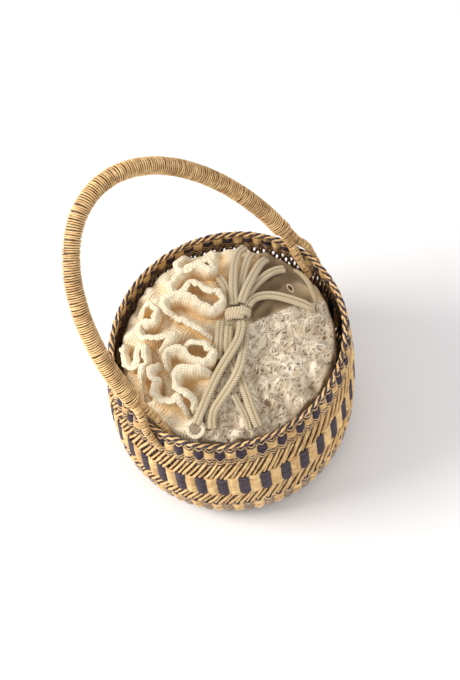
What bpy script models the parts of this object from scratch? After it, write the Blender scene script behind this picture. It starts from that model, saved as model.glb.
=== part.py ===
"""A round twined grass basket with a wrapped swing handle and a drawstring fabric pouch inside.

Metres, +Z up. The origin is the centre of the base's underside. The handle's hinge line runs along X,
and the handle leans towards +Y.
"""

import math

import bmesh
import bpy
from mathutils import Matrix, Vector

# Basket
HEIGHT = 0.150
RIM_RADIUS = 0.100
BELLY_RADIUS = 0.107
BELLY_Z = 0.064
FOOT_RADIUS = 0.092
WALL = 0.0048
OVALITY = 0.04
OVAL_FULL_Z = 0.090
STAKES = 72
RING_STEPS = 44
GAP = 0.0003

# Heights of the bands of the wall, from the floor up
BASE_TOP = 0.0050
FOOT_TOP = 0.0130
LOWER_TWINED_TOP = 0.0440
LOWER_LATTICE_TOP = 0.0650
BLOCKS_TOP = 0.0970
UPPER_LATTICE_TOP = 0.1220
UPPER_TWINED_TOP = 0.1436
BRAID_RADIUS = 0.0032

# Handle
HINGE_Z = 0.1510
LEAN = math.radians(41)
ARCH_HALF_SPAN = 0.0988
ARCH_STRAIGHT = 0.0160
ARCH_RISE = 0.1600
ARCH_SKEW = 0.0128
WRAP_RADIUS = 0.0076
CORE_RADIUS = 0.0062
FORK_TOP = 0.0263
PRONG_RADIUS = 0.0040
OUTER_PRONG_X = 0.1104
INNER_PRONG_X = 0.0925
LEG_SLANT = math.radians(35)
OUTER_LEG_LENGTH = 0.022
INNER_LEG_LENGTH = 0.020

# Pouch
POUCH_RADIUS = 0.086
POUCH_FOOT = 0.0053
SHOULDER_Z = 0.128
DOME_TOP = 0.161
DOME_DROP = 0.018
DOME_POWER = 2.4
DOME_RADIUS = 0.084
SEAM_ANGLE = math.radians(22)
SEAM_POINT = Vector((-0.004, 0.0, 0.0))
CORD_RADIUS = 0.0027
KNOT_AT = Vector((0.0130, 0.0010, 0.1690))


def clear_scene():
    for old in list(bpy.data.objects):
        bpy.data.objects.remove(old, do_unlink=True)


def material(name, colour, roughness, metallic=0.0):
    made = bpy.data.materials.new(name)
    made.use_nodes = True
    shader = made.node_tree.nodes["Principled BSDF"]
    shader.inputs["Base Color"].default_value = (*colour, 1.0)
    shader.inputs["Roughness"].default_value = roughness
    shader.inputs["Metallic"].default_value = metallic
    return made


def add_object(name, data, finish):
    made = bpy.data.objects.new(name, data)
    bpy.context.scene.collection.objects.link(made)
    data.materials.append(finish)
    return made


def mesh_object(name, bm, finish, smooth_angle=40):
    bmesh.ops.recalc_face_normals(bm, faces=bm.faces)
    mesh = bpy.data.meshes.new(name)
    bm.to_mesh(mesh)
    bm.free()
    mesh.shade_smooth()
    mesh.set_sharp_from_angle(angle=math.radians(smooth_angle))
    return add_object(name, mesh, finish)


def wall_radius(z):
    """The outer radius of the barrel-shaped wall, before it is made oval."""
    if z >= BELLY_Z:
        up = (z - BELLY_Z) / (HEIGHT - BELLY_Z)
        return BELLY_RADIUS - (BELLY_RADIUS - RIM_RADIUS) * up**2
    down = (BELLY_Z - z) / BELLY_Z
    return BELLY_RADIUS - (BELLY_RADIUS - FOOT_RADIUS) * down**4


def make_oval(bm):
    """Stretches a round shape along the hinge line, more towards the rim."""
    for vert in bm.verts:
        share = OVALITY * min(1.0, max(0.0, vert.co.z) / OVAL_FULL_Z)
        vert.co.x *= 1 + share
        vert.co.y *= 1 - share


def turned(points, steps, closed):
    """Spins an XZ profile round Z. An open profile starts and ends on the axis."""
    bm = bmesh.new()
    verts = [bm.verts.new((x, 0.0, z)) for x, z in points]
    edges = [bm.edges.new(pair) for pair in zip(verts, verts[1:])]
    if closed:
        edges.append(bm.edges.new((verts[-1], verts[0])))
    bmesh.ops.spin(
        bm, geom=verts + edges, cent=(0, 0, 0), axis=(0, 0, 1), angle=math.tau, steps=steps, use_merge=True
    )
    bmesh.ops.remove_doubles(bm, verts=bm.verts, dist=1e-6)
    return bm


def wall_band(name, low, high, finish, rows=2):
    """A solid ring of the wall between two heights."""
    heights = [low + (high - low) * row / rows for row in range(rows + 1)]
    outer = [(wall_radius(z), z) for z in heights]
    inner = [(wall_radius(z) - WALL, z) for z in reversed(heights)]
    bm = turned(outer + inner, RING_STEPS, closed=True)
    make_oval(bm)
    return mesh_object(name, bm, finish)


def braid_ring(name, radius, z, tube, finish):
    """A round braided edge."""
    circle = [
        (radius + tube * math.cos(math.tau * side / 6), z + tube * math.sin(math.tau * side / 6))
        for side in range(6)
    ]
    bm = turned(circle, RING_STEPS, closed=True)
    make_oval(bm)
    return mesh_object(name, bm, finish, 80)


def lattice_band(name, low, high, finish):
    """An open ring: two thin rails joined by slanting straws, with a gap after each straw."""
    rail = 0.0022
    heights = [low, low + rail, high - rail, high]
    bm = turned_strip([(wall_radius(z), z) for z in heights])
    slant = math.tau / STAKES
    for vert in bm.verts:
        share = (vert.co.z - low) / (high - low)
        vert.co = Matrix.Rotation(slant * share, 3, "Z") @ vert.co
    gaps = []
    for face in bm.faces:
        middle = face.calc_center_median()
        turn = math.atan2(middle.y, middle.x) - 0.5 * slant
        column = math.floor((turn % math.tau) / slant)
        if low + rail < middle.z < high - rail and column % 2:
            gaps.append(face)
    bmesh.ops.delete(bm, geom=gaps, context="FACES")
    make_oval(bm)
    made = mesh_object(name, bm, finish)
    thick = made.modifiers.new("straw thickness", "SOLIDIFY")
    thick.thickness = WALL * 0.6
    thick.offset = -1.0
    return made


def turned_strip(points):
    """An open surface of revolution with one column of faces for each stake."""
    bm = bmesh.new()
    verts = [bm.verts.new((x, 0.0, z)) for x, z in points]
    edges = [bm.edges.new(pair) for pair in zip(verts, verts[1:])]
    bmesh.ops.spin(
        bm, geom=verts + edges, cent=(0, 0, 0), axis=(0, 0, 1), angle=math.tau, steps=STAKES, use_merge=True
    )
    bmesh.ops.remove_doubles(bm, verts=bm.verts, dist=1e-6)
    return bm


def build_basket(straw, dark):
    base = turned([(0, 0), (0.0885, 0), (0.0895, BASE_TOP), (0, BASE_TOP)], RING_STEPS, closed=False)
    mesh_object("base_weave", base, straw)
    foot_z = BASE_TOP + GAP + BRAID_RADIUS
    braid_ring("foot_braid", wall_radius(foot_z) - BRAID_RADIUS, foot_z, BRAID_RADIUS, dark)
    wall_band("lower_twined_band", FOOT_TOP, LOWER_TWINED_TOP - GAP, straw, rows=3)
    lattice_band("lower_straw_lattice", LOWER_TWINED_TOP + GAP, LOWER_LATTICE_TOP - 2 * GAP, straw)
    wall_band("block_band", LOWER_LATTICE_TOP, BLOCKS_TOP - GAP, dark)
    lattice_band("upper_straw_lattice", BLOCKS_TOP + GAP, UPPER_LATTICE_TOP - 2 * GAP, straw)
    wall_band("upper_twined_band", UPPER_LATTICE_TOP, UPPER_TWINED_TOP - GAP, dark)
    rim_z = HEIGHT - BRAID_RADIUS
    braid_ring("rim_braid", wall_radius(rim_z) - BRAID_RADIUS, rim_z, BRAID_RADIUS, dark)


def capsule(start, end, start_radius, end_radius):
    """The hull of two balls: a tapered rod with round ends."""
    bm = bmesh.new()
    for centre, radius in ((start, start_radius), (end, end_radius)):
        bmesh.ops.create_uvsphere(
            bm, u_segments=12, v_segments=6, radius=radius, matrix=Matrix.Translation(centre)
        )
    hull = bmesh.ops.convex_hull(bm, input=bm.verts)
    inside = {item for item in hull["geom_interior"] if isinstance(item, bmesh.types.BMVert)}
    bmesh.ops.delete(bm, geom=list(inside), context="VERTS")
    keep = {item for item in hull["geom"] if isinstance(item, bmesh.types.BMFace)}
    bmesh.ops.delete(bm, geom=[face for face in bm.faces if face not in keep], context="FACES_ONLY")
    return bm


def fixed_leg(name, x, length, finish):
    """One wrapped end of the handle, sewn against the wall. It carries on in line with the leaning arch."""
    away = Vector((0, -math.sin(LEG_SLANT), -math.cos(LEG_SLANT)))
    top = Vector((x, 0, HINGE_Z)) + away * (2 * PRONG_RADIUS + 0.0006)
    return mesh_object(name, capsule(top, top + away * length, PRONG_RADIUS, PRONG_RADIUS * 0.8), finish, 80)


def arch_point(step, steps):
    """A point of the arch's centre line in the handle's own upright plane, from the -X foot to the +X foot."""
    turn = math.pi * step / steps
    x = -ARCH_HALF_SPAN * math.cos(turn) - ARCH_SKEW * math.sin(turn)
    return Vector((x, 0, ARCH_STRAIGHT + ARCH_RISE * math.sin(turn)))


def arch_curve(name, radius, capped):
    """A tube along the arch, cut off square at both ends just above the forks."""
    first = math.asin((FORK_TOP + 0.0012 - ARCH_STRAIGHT) / ARCH_RISE) / math.pi
    steps = 26
    shares = [first + (1 - 2 * first) * step / steps for step in range(steps + 1)]
    points = [arch_point(share, 1) for share in shares]
    curve = bpy.data.curves.new(name, "CURVE")
    curve.dimensions = "3D"
    curve.bevel_depth = radius
    curve.bevel_resolution = 3
    curve.use_fill_caps = capped
    spline = curve.splines.new("POLY")
    spline.points.add(len(points) - 1)
    for point, place in zip(spline.points, points):
        point.co = (*place, 1.0)
    return curve


def build_handle(wrap, hidden):
    hinge = bpy.data.objects.new("handle_hinge", None)
    hinge.location = (0, 0, HINGE_Z)
    hinge.rotation_euler = (-LEAN, 0, 0)
    bpy.context.scene.collection.objects.link(hinge)
    core = add_object("handle_core", arch_curve("handle_core", CORE_RADIUS, True), hidden)
    core.parent = hinge
    sleeve = add_object("handle_wrap", arch_curve("handle_wrap", WRAP_RADIUS, False), wrap)
    sleeve.parent = hinge
    shell = sleeve.modifiers.new("wrap thickness", "SOLIDIFY")
    shell.thickness = WRAP_RADIUS - CORE_RADIUS - GAP
    shell.offset = -1.0
    for side, word in ((-1, "left"), (1, "right")):
        neck = Vector((side * ARCH_HALF_SPAN, 0, FORK_TOP - GAP))
        prongs = []
        for x in (OUTER_PRONG_X, INNER_PRONG_X):
            foot = Vector((side * x, 0, 0))
            bm = capsule(foot, neck, PRONG_RADIUS, WRAP_RADIUS)
            top = bmesh.ops.bisect_plane(
                bm, geom=bm.verts[:] + bm.edges[:] + bm.faces[:], plane_co=neck, plane_no=(0, 0, 1), clear_outer=True
            )
            rim = [item for item in top["geom_cut"] if isinstance(item, bmesh.types.BMEdge)]
            bmesh.ops.contextual_create(bm, geom=rim)
            prongs.append(bm)
        fork = mesh_object("handle_fork_" + word, prongs[0], wrap, 60)
        inner = mesh_object("inner_prong_cutter_" + word, prongs[1], wrap)
        inner.hide_render = True
        inner.display_type = "WIRE"
        inner.parent = hinge
        joined = fork.modifiers.new("inner prong", "BOOLEAN")
        joined.operation = "UNION"
        joined.solver = "EXACT"
        joined.object = inner
        fork.parent = hinge
        fixed_leg("outer_leg_" + word, side * OUTER_PRONG_X, OUTER_LEG_LENGTH, wrap)
        fixed_leg("inner_leg_" + word, side * INNER_PRONG_X, INNER_LEG_LENGTH, wrap)


def dome_height(x, y):
    """The height of the pouch's crowned top over a point."""
    return DOME_TOP - DOME_DROP * (math.hypot(x / 1.02, y / 0.98) / DOME_RADIUS) ** DOME_POWER


def half_dome(name, side, finish):
    """One half of the pouch's top, cut along the seam under the cords."""
    rings = 7
    profile = [(0.0, SHOULDER_Z + GAP), (POUCH_RADIUS, SHOULDER_Z + GAP)]
    for ring in range(rings, -1, -1):
        radius = POUCH_RADIUS * ring / rings
        profile.append((radius, dome_height(radius * 1.02, 0)))
    bm = turned(profile, RING_STEPS, closed=False)
    for vert in bm.verts:
        vert.co.x *= 1.02
        vert.co.y *= 0.98
    across = Vector((-math.sin(SEAM_ANGLE), math.cos(SEAM_ANGLE), 0)) * side
    cut = bmesh.ops.bisect_plane(
        bm,
        geom=bm.verts[:] + bm.edges[:] + bm.faces[:],
        plane_co=SEAM_POINT + across * GAP,
        plane_no=across,
        clear_inner=True,
    )
    rim = [item for item in cut["geom_cut"] if isinstance(item, bmesh.types.BMEdge)]
    bmesh.ops.contextual_create(bm, geom=rim)
    return mesh_object(name, bm, finish)


def frill(name, centre, long, wide, height, turn, finish):
    """A gathered frill as a plain mound of its outer size, draped on the pouch's top."""
    bm = bmesh.new()
    bmesh.ops.create_uvsphere(bm, u_segments=20, v_segments=10, radius=1.0)
    spin = Matrix.Rotation(turn, 3, "Z")
    for vert in bm.verts:
        flat = spin @ Vector((vert.co.x * long, vert.co.y * wide, 0))
        x, y = centre[0] + flat.x, centre[1] + flat.y
        vert.co = (x, y, dome_height(x, y) + 2 * GAP + height * max(vert.co.z, 0.0) ** 0.6)
    return mesh_object(name, bm, finish)


def torus(name, centre, facing, radius, tube, finish):
    """A rolled fabric ring."""
    bm = bmesh.new()
    circle = [
        bm.verts.new((radius + tube * math.cos(math.tau * side / 8), 0, tube * math.sin(math.tau * side / 8)))
        for side in range(8)
    ]
    edges = [bm.edges.new((circle[side], circle[(side + 1) % 8])) for side in range(8)]
    bmesh.ops.spin(
        bm, geom=circle + edges, cent=(0, 0, 0), axis=(0, 0, 1), angle=math.tau, steps=20, use_merge=True
    )
    bmesh.ops.remove_doubles(bm, verts=bm.verts, dist=1e-6)
    made = mesh_object(name, bm, finish, 80)
    made.rotation_euler = Vector(facing).to_track_quat("Z", "Y").to_euler()
    made.location = centre
    return made


def smooth_route(route, spacing):
    """Points at an even spacing on a smooth curve (a Catmull-Rom spline) through the route's points."""
    ends = [2 * route[0] - route[1]] + route + [2 * route[-1] - route[-2]]
    fine = []
    for first, second, third, fourth in zip(ends, ends[1:], ends[2:], ends[3:]):
        for step in range(12):
            t = step / 12
            fine.append(
                0.5
                * (
                    2 * second
                    + (third - first) * t
                    + (2 * first - 5 * second + 4 * third - fourth) * t**2
                    + (3 * second - first - 3 * third + fourth) * t**3
                )
            )
    fine.append(route[-1])
    lengths = [0.0]
    for here, there in zip(fine, fine[1:]):
        lengths.append(lengths[-1] + (there - here).length)
    count = max(3, round(lengths[-1] / spacing))
    places = []
    index = 0
    for step in range(count + 1):
        goal = lengths[-1] * step / count
        while index < len(fine) - 2 and lengths[index + 1] < goal:
            index += 1
        share = (goal - lengths[index]) / max(lengths[index + 1] - lengths[index], 1e-9)
        places.append(fine[index].lerp(fine[index + 1], min(1.0, share)))
    return places


def cord(name, route, radius, finish):
    """A plain round tube along a hand-laid route, given in millimetres."""
    places = smooth_route([Vector(point) / 1000 for point in route], 5 * radius)
    curve = bpy.data.curves.new(name, "CURVE")
    curve.dimensions = "3D"
    curve.bevel_depth = radius
    curve.bevel_resolution = 2
    curve.use_fill_caps = True
    spline = curve.splines.new("POLY")
    spline.points.add(len(places) - 1)
    for point, place in zip(spline.points, places):
        point.co = (*place, 1.0)
    return add_object(name, curve, finish)


# Each cord's route over the pouch's top, in millimetres, starting at the knot
CORD_ROUTES = {
    "cord_back_1": [
        (18.2, 7.4, 168.5),
        (28, 16, 167),
        (39, 25, 163.8),
        (53, 35, 158.3),
        (66, 41.5, 152),
        (75, 42, 148),
    ],
    "cord_back_2": [
        (20.6, 5.6, 163.8),
        (38.5, 16.5, 161.1),
        (53.5, 25, 156.9),
        (66, 31, 152),
        (74, 33, 148.4),
    ],
    "cord_back_3": [
        (23, 4, 168.9),
        (33, 7.8, 168.9),
        (42, 11, 166.3),
        (56.5, 16, 159.8),
        (69, 19.4, 153.6),
        (76, 19.5, 149.7),
    ],
    "cord_back_4": [
        (32.2, 6.3, 162.6),
        (46, 8.3, 160.2),
        (61, 8, 156.3),
        (71, 5.8, 152.8),
        (78, 1.8, 150),
    ],
    "cord_end_right": [
        (24.2, -1.4, 167.2),
        (33.5, 0, 164.1),
        (42, -3.2, 161.7),
        (49, -10, 159.4),
        (54, -19, 157.5),
        (59, -30, 154.5),
        (61.6, -37.5, 152.2),
        (62.6, -42.4, 150.6),
    ],
    "cord_left": [
        (13.6, 12.2, 163.9),
        (20.5, 16.4, 163.3),
        (27.5, 23, 162.1),
        (31.5, 29, 160.9),
        (34.6, 36, 159.3),
        (36.4, 43, 157.6),
    ],
    "cord_under": [(1.5, 8.6, 164.3), (-8, 2.5, 164.3), (-17, -4, 164), (-27, -10.5, 163)],
    "cord_front_1": [
        (9.3, -6.7, 169.2),
        (5.7, -9.9, 169.9),
        (-4.4, -14.9, 170.4),
        (-16.4, -17.4, 170.2),
        (-28.3, -18.4, 167.4),
        (-41.2, -19.9, 162.4),
        (-53, -22.1, 158),
        (-63, -24.8, 155.6),
        (-72, -27.4, 154.2),
        (-79, -29.3, 152.1),
    ],
    "cord_front_2": [
        (10.6, -9.2, 164.2),
        (4.4, -14.4, 164.1),
        (-5.1, -20.7, 164.6),
        (-19, -29, 168.2),
        (-29.6, -32.6, 167),
        (-40.4, -33.1, 161.3),
        (-50.6, -33, 156.6),
        (-60.1, -33.6, 153.5),
        (-67.2, -36.4, 150.4),
        (-72.5, -41, 147.2),
    ],
    "cord_front_3": [
        (1.6, -0.2, 164.4),
        (-5, -4.8, 164.4),
        (-14, -11.4, 164),
        (-22, -21.4, 162.8),
        (-27.5, -33.5, 160.7),
        (-34.4, -45.8, 157.1),
        (-41, -56.2, 152.8),
        (-45.8, -64.6, 148.5),
        (-48, -69, 146),
    ],
    "cord_tail": [
        (-41.6, -39, 156.8),
        (-44.8, -46.5, 154.2),
        (-47.9, -53.8, 151.2),
        (-51, -60, 148),
        (-54, -63.5, 146),
    ],
}


def build_pouch(crochet, cotton, lace, cord_finish):
    bag = turned(
        [(0, POUCH_FOOT), (0.070, POUCH_FOOT), (0.082, 0.016), (POUCH_RADIUS, 0.040), (POUCH_RADIUS, SHOULDER_Z), (0, SHOULDER_Z)],
        RING_STEPS,
        closed=False,
    )
    for vert in bag.verts:
        vert.co.x *= 1.02
        vert.co.y *= 0.98
    mesh_object("pouch_bag", bag, cotton)
    half_dome("crochet_top", 1, crochet)
    half_dome("lace_top", -1, lace)
    frill("frill_upper", (0.009, 0.042), 0.030, 0.021, 0.011, math.radians(60), crochet)
    frill("frill_lower", (-0.050, 0.004), 0.030, 0.017, 0.011, math.radians(20), crochet)
    frill("frill_left", (-0.055, 0.044), 0.026, 0.016, 0.010, math.radians(45), crochet)
    torus("cord_eyelet", (-0.0805, -0.0297, 0.1452), (-0.43, -0.16, 0.89), 0.0064, 0.0018, cotton)
    fold = [(84, -4, 146.8), (84, -13, 146.4), (81, -22, 146.6), (75.5, -30, 148), (71, -36, 149.4)]
    cord("casing_fold", fold, 0.0022, cotton)
    knot = bmesh.new()
    bmesh.ops.create_uvsphere(knot, u_segments=20, v_segments=10, radius=1.0)
    bmesh.ops.scale(knot, vec=(0.0125, 0.0072, 0.0068), verts=knot.verts)
    bmesh.ops.rotate(knot, matrix=Matrix.Rotation(math.radians(-46.6), 3, "Z"), verts=knot.verts)
    bmesh.ops.translate(knot, vec=KNOT_AT - Vector((0, 0, 0.0008)), verts=knot.verts)
    mesh_object("cord_knot", knot, cord_finish)
    for name, route in CORD_ROUTES.items():
        radius = 0.0018 if name == "cord_tail" else CORD_RADIUS
        cord(name, route, radius, cord_finish)


def main():
    clear_scene()
    straw = material("golden straw", (0.62, 0.41, 0.19), 0.55)
    dark = material("purple and tan straw", (0.16, 0.11, 0.13), 0.55)
    wrap = material("handle straw", (0.66, 0.44, 0.20), 0.50)
    bundle = material("straw bundle", (0.50, 0.34, 0.16), 0.80)
    crochet = material("ecru crochet", (0.86, 0.78, 0.62), 0.90)
    cotton = material("beige cotton", (0.74, 0.64, 0.47), 0.85)
    lace = material("white lace", (0.88, 0.84, 0.75), 0.85)
    braided = material("braided cotton cord", (0.84, 0.76, 0.58), 0.80)
    build_basket(straw, dark)
    build_handle(wrap, bundle)
    build_pouch(crochet, cotton, lace, braided)


main()
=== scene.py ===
# %% [markdown]
# # A twined grass basket with a swing handle and a drawstring pouch
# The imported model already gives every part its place. This lesson dresses it: real straws are twined into
# the wall, the handle is wrapped turn by turn, and the pouch gets its cloth, frills, lace and braided cord.

import math

import bmesh
import bpy
from mathutils import Matrix, Vector, noise
from mathutils.kdtree import KDTree


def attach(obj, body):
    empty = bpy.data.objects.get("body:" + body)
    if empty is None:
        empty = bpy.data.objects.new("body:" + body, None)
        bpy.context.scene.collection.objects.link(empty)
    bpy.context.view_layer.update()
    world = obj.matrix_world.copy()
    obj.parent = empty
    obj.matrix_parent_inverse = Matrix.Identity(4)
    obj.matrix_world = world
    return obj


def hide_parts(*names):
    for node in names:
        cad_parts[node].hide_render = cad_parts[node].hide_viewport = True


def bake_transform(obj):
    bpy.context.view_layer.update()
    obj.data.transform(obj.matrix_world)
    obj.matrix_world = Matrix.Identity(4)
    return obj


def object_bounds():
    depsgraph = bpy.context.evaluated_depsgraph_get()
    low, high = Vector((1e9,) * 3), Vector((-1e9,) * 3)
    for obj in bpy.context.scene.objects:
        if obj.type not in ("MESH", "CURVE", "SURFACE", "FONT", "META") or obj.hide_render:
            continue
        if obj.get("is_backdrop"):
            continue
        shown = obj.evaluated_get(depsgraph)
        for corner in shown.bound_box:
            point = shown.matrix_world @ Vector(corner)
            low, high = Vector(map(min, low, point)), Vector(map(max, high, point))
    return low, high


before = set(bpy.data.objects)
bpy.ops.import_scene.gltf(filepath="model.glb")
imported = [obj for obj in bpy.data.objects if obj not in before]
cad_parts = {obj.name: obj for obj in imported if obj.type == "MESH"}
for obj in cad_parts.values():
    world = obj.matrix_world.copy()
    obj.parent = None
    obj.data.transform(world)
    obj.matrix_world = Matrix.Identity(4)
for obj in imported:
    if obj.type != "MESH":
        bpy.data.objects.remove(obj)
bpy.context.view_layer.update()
MM = 0.001

# %% [markdown]
# The camera comes first, so that every later choice can be judged through it. It looks down steeply from
# the front left. A long lens stands well back, which keeps the round rim from looking stretched.

# %% Camera
CAMERA_AT = Vector((-0.4741, -0.4398, 1.4245))
CAMERA_LOOK = Vector((0.3307, 0.3057, -0.8929)).normalized()
CAMERA_UP = Vector((0.7114, 0.5410, 0.4487))
CAMERA_LENS = 91.4

camera_data = bpy.data.cameras.new("studio_camera")
camera_data.lens = CAMERA_LENS
camera_data.sensor_width = 36
camera = bpy.data.objects.new("studio_camera", camera_data)
bpy.context.scene.collection.objects.link(camera)
camera_right = CAMERA_LOOK.cross(CAMERA_UP).normalized()
camera_top = camera_right.cross(CAMERA_LOOK)
camera.matrix_world = Matrix.Translation(CAMERA_AT) @ Matrix(
    (camera_right, camera_top, -CAMERA_LOOK)
).transposed().to_4x4()
bpy.context.scene.camera = camera
print("Camera stands", round(CAMERA_AT.length, 2), "m from the basket's foot")

# %% [markdown]
# The same few sizes drive the basket as drive its solid model: a barrel-shaped wall, round at the foot and
# a little oval at the rim, where the handle pulls it. Everything woven asks these helpers where the wall is.

# %% Shape of the wall
HEIGHT = 150 * MM
RIM_RADIUS = 100 * MM
BELLY_RADIUS = 107 * MM
BELLY_Z = 64 * MM
FOOT_RADIUS = 92 * MM
WALL = 4.8 * MM
OVALITY = 0.04
OVAL_FULL_Z = 90 * MM
RIBS = 72
FIRST_RIB = math.radians(-3.6)


def wall_radius(z):
    if z >= BELLY_Z:
        return BELLY_RADIUS - (BELLY_RADIUS - RIM_RADIUS) * ((z - BELLY_Z) / (HEIGHT - BELLY_Z)) ** 2
    return BELLY_RADIUS - (BELLY_RADIUS - FOOT_RADIUS) * ((BELLY_Z - z) / BELLY_Z) ** 4


def on_wall(turn, z, out=0.0):
    """A point at a turn and height, so far outside the wall's middle."""
    radius = wall_radius(z) - WALL / 2 + out
    share = OVALITY * min(1.0, max(0.0, z) / OVAL_FULL_Z)
    return Vector((radius * math.cos(turn) * (1 + share), radius * math.sin(turn) * (1 - share), z))


rim_wide, rim_deep = 2 * on_wall(0, HEIGHT).x, 2 * on_wall(math.pi / 2, HEIGHT).y
print("Rim in mm:", round(rim_wide / MM), "by", round(rim_deep / MM))

# %% [markdown]
# Materials are node trees, and trees get long. A small class wraps a socket so that sums on sockets can be
# written as sums in Python, and one method adds every other node.

# %% A way to write materials as sums
class Value:
    """A shader socket that can stand in a sum."""

    def __init__(self, finish, socket):
        self.finish = finish
        self.socket = socket

    def math(self, operation, *others):
        return self.finish.node("Math", {"operation": operation}, self, *others)

    def __add__(self, other):
        return self.math("ADD", other)

    __radd__ = __add__

    def __mul__(self, other):
        return self.math("MULTIPLY", other)

    __rmul__ = __mul__

    def __sub__(self, other):
        return self.math("SUBTRACT", other)

    def __rsub__(self, other):
        return self.finish.node("Math", {"operation": "SUBTRACT"}, other, self)


class Finish:
    """A material with its Principled shader, and one way to add any other node."""

    def __init__(self, name, roughness, **constants):
        self.material = bpy.data.materials.new(name)
        self.material.use_nodes = True
        self.tree = self.material.node_tree
        self.shader = self.tree.nodes["Principled BSDF"]
        self.shader.inputs["Roughness"].default_value = roughness
        for socket, value in constants.items():
            self.shader.inputs[socket.replace("_", " ")].default_value = value

    def plug(self, socket, value):
        if isinstance(value, Value):
            self.tree.links.new(value.socket, socket)
        elif value is not None:
            socket.default_value = value

    def node(self, kind, settings, *values, output=0, **named):
        made = self.tree.nodes.new("ShaderNode" + kind)
        for key, value in settings.items():
            setattr(made, key, value)
        for socket, value in zip(made.inputs, values):
            self.plug(socket, value)
        for key, value in named.items():
            self.plug(made.inputs[key.replace("_", " ")], value)
        return Value(self, made.outputs[output])

    def ramp(self, value, stops):
        """A number turned into a colour or another number by stops of (place, grey or colour)."""
        made = self.tree.nodes.new("ShaderNodeValToRGB")
        while len(made.color_ramp.elements) < len(stops):
            made.color_ramp.elements.new(0.5)
        for element, (place, colour) in zip(made.color_ramp.elements, stops):
            element.position = place
            element.color = (*colour, 1) if isinstance(colour, tuple) else (colour, colour, colour, 1)
        self.plug(made.inputs[0], value)
        return Value(self, made.outputs[0])

    def blend(self, share, first, second):
        """Two colours mixed by a share from 0 to 1."""
        made = self.tree.nodes.new("ShaderNodeMix")
        made.data_type = "RGBA"
        self.plug(made.inputs[0], share)
        for socket, colour in ((made.inputs[6], first), (made.inputs[7], second)):
            self.plug(socket, (*colour, 1) if isinstance(colour, tuple) else colour)
        return Value(self, made.outputs[2])

    def place(self, scale=(1, 1, 1), turn=(0, 0, 0), source="Object"):
        """The surface's own coordinates, stretched and turned."""
        if source == "UV":
            start = self.node("UVMap", {})
        else:
            made = self.tree.nodes.new("ShaderNodeTexCoord")
            start = Value(self, made.outputs["Object"])
        return self.node("Mapping", {}, start, None, turn, scale)

    def noise(self, place, scale, detail=2.0, roughness=0.5):
        return self.node("TexNoise", {}, Vector=place, Scale=scale, Detail=detail, Roughness=roughness)

    def cells(self, place, scale, randomness, feature="F1"):
        """How far each point is from the nearest cell's middle, or from its edge."""
        made = self.tree.nodes.new("ShaderNodeTexVoronoi")
        made.feature = feature
        self.plug(made.inputs["Vector"], place)
        self.plug(made.inputs["Scale"], scale)
        self.plug(made.inputs["Randomness"], randomness)
        return Value(self, made.outputs["Distance"])

    def waves(self, number, times):
        """A number turned into waves between 0 and 1."""
        return (number * (math.tau * times)).math("SINE") * 0.5 + 0.5

    def bumps(self, height, distance, strength):
        """Fine relief: a height from 0 to 1 stands for this distance."""
        made = self.tree.nodes.new("ShaderNodeBump")
        made.inputs["Strength"].default_value = strength
        made.inputs["Distance"].default_value = distance
        self.plug(made.inputs["Height"], height)
        return Value(self, made.outputs[0])

    def use(self, colour=None, roughness=None, normal=None, alpha=None):
        """What changes over the surface goes to the shader here."""
        changing = {"Base Color": colour, "Roughness": roughness, "Normal": normal, "Alpha": alpha}
        for socket, value in changing.items():
            self.plug(self.shader.inputs[socket], value)
        return self.material


print("Materials can be written as sums")

# %% [markdown]
# Dry grass is shiny along its fibres and dull across them. Each straw gets fine streaks that run along it,
# darker patches where it was bruised, and a tint that changes slowly over the basket, as bundles differ.

# %% Straw finishes
def straw_finish(name, light, dark, streak_scale):
    finish = Finish(name, 0.48, Specular_IOR_Level=0.45, Sheen_Weight=0.05)
    along = finish.place(streak_scale, source="UV")
    streaks = finish.noise(along, 1.0, 4.0, 0.65)
    patches = finish.noise(finish.place(), 160, 3.0)
    slow = finish.noise(finish.place(), 22, 2.0)
    worn = finish.ramp(streaks * 0.55 + patches * 0.3 + slow * 0.25, [(0.38, dark), (0.62, light)])
    pale = tuple(min(1.0, part * 1.25 + 0.04) for part in light)
    colour = finish.blend(finish.ramp(patches * 0.6 + streaks * 0.4, [(0.52, 0.0), (0.72, 0.8)]), worn, pale)
    fibres = finish.bumps(streaks, 0.35 * MM, 0.7)
    return finish.use(colour, finish.ramp(streaks, [(0.3, 0.62), (0.7, 0.40)]), fibres)


ROW_STREAKS = (420, 9, 1)
golden_straw = straw_finish("golden straw", (0.94, 0.63, 0.28), (0.38, 0.17, 0.045), ROW_STREAKS)
purple_straw = straw_finish("dyed purple straw", (0.050, 0.026, 0.046), (0.008, 0.004, 0.007), ROW_STREAKS)
grey_straw = straw_finish("weathered straw", (0.34, 0.24, 0.16), (0.12, 0.08, 0.06), ROW_STREAKS)
# Dark straw for the ribs and for the straws behind the lattice pairs: in the gaps its dark colour is painted
# shade.
rib_and_gap_shade_straw = straw_finish("brown stake straw", (0.14, 0.065, 0.022), (0.045, 0.02, 0.008), (40, 9, 1))
wrap_straw = straw_finish("handle wrapping", (0.93, 0.62, 0.29), (0.30, 0.13, 0.035), (700, 4, 1))
# Dark straw of the handle's bundle: where it shows between the binding's turns, its dark colour is painted
# shade.
bundle_straw = straw_finish("handle bundle", (0.13, 0.065, 0.022), (0.04, 0.02, 0.008), (60, 12, 1))
print("Straw finishes made")

# %% [markdown]
# Every woven straw is one profile swept along a path. A curve does this well: it carries the profile, keeps
# it upright, and hands over a mesh whose UV map runs along the straw, which the streaks follow.

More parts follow.
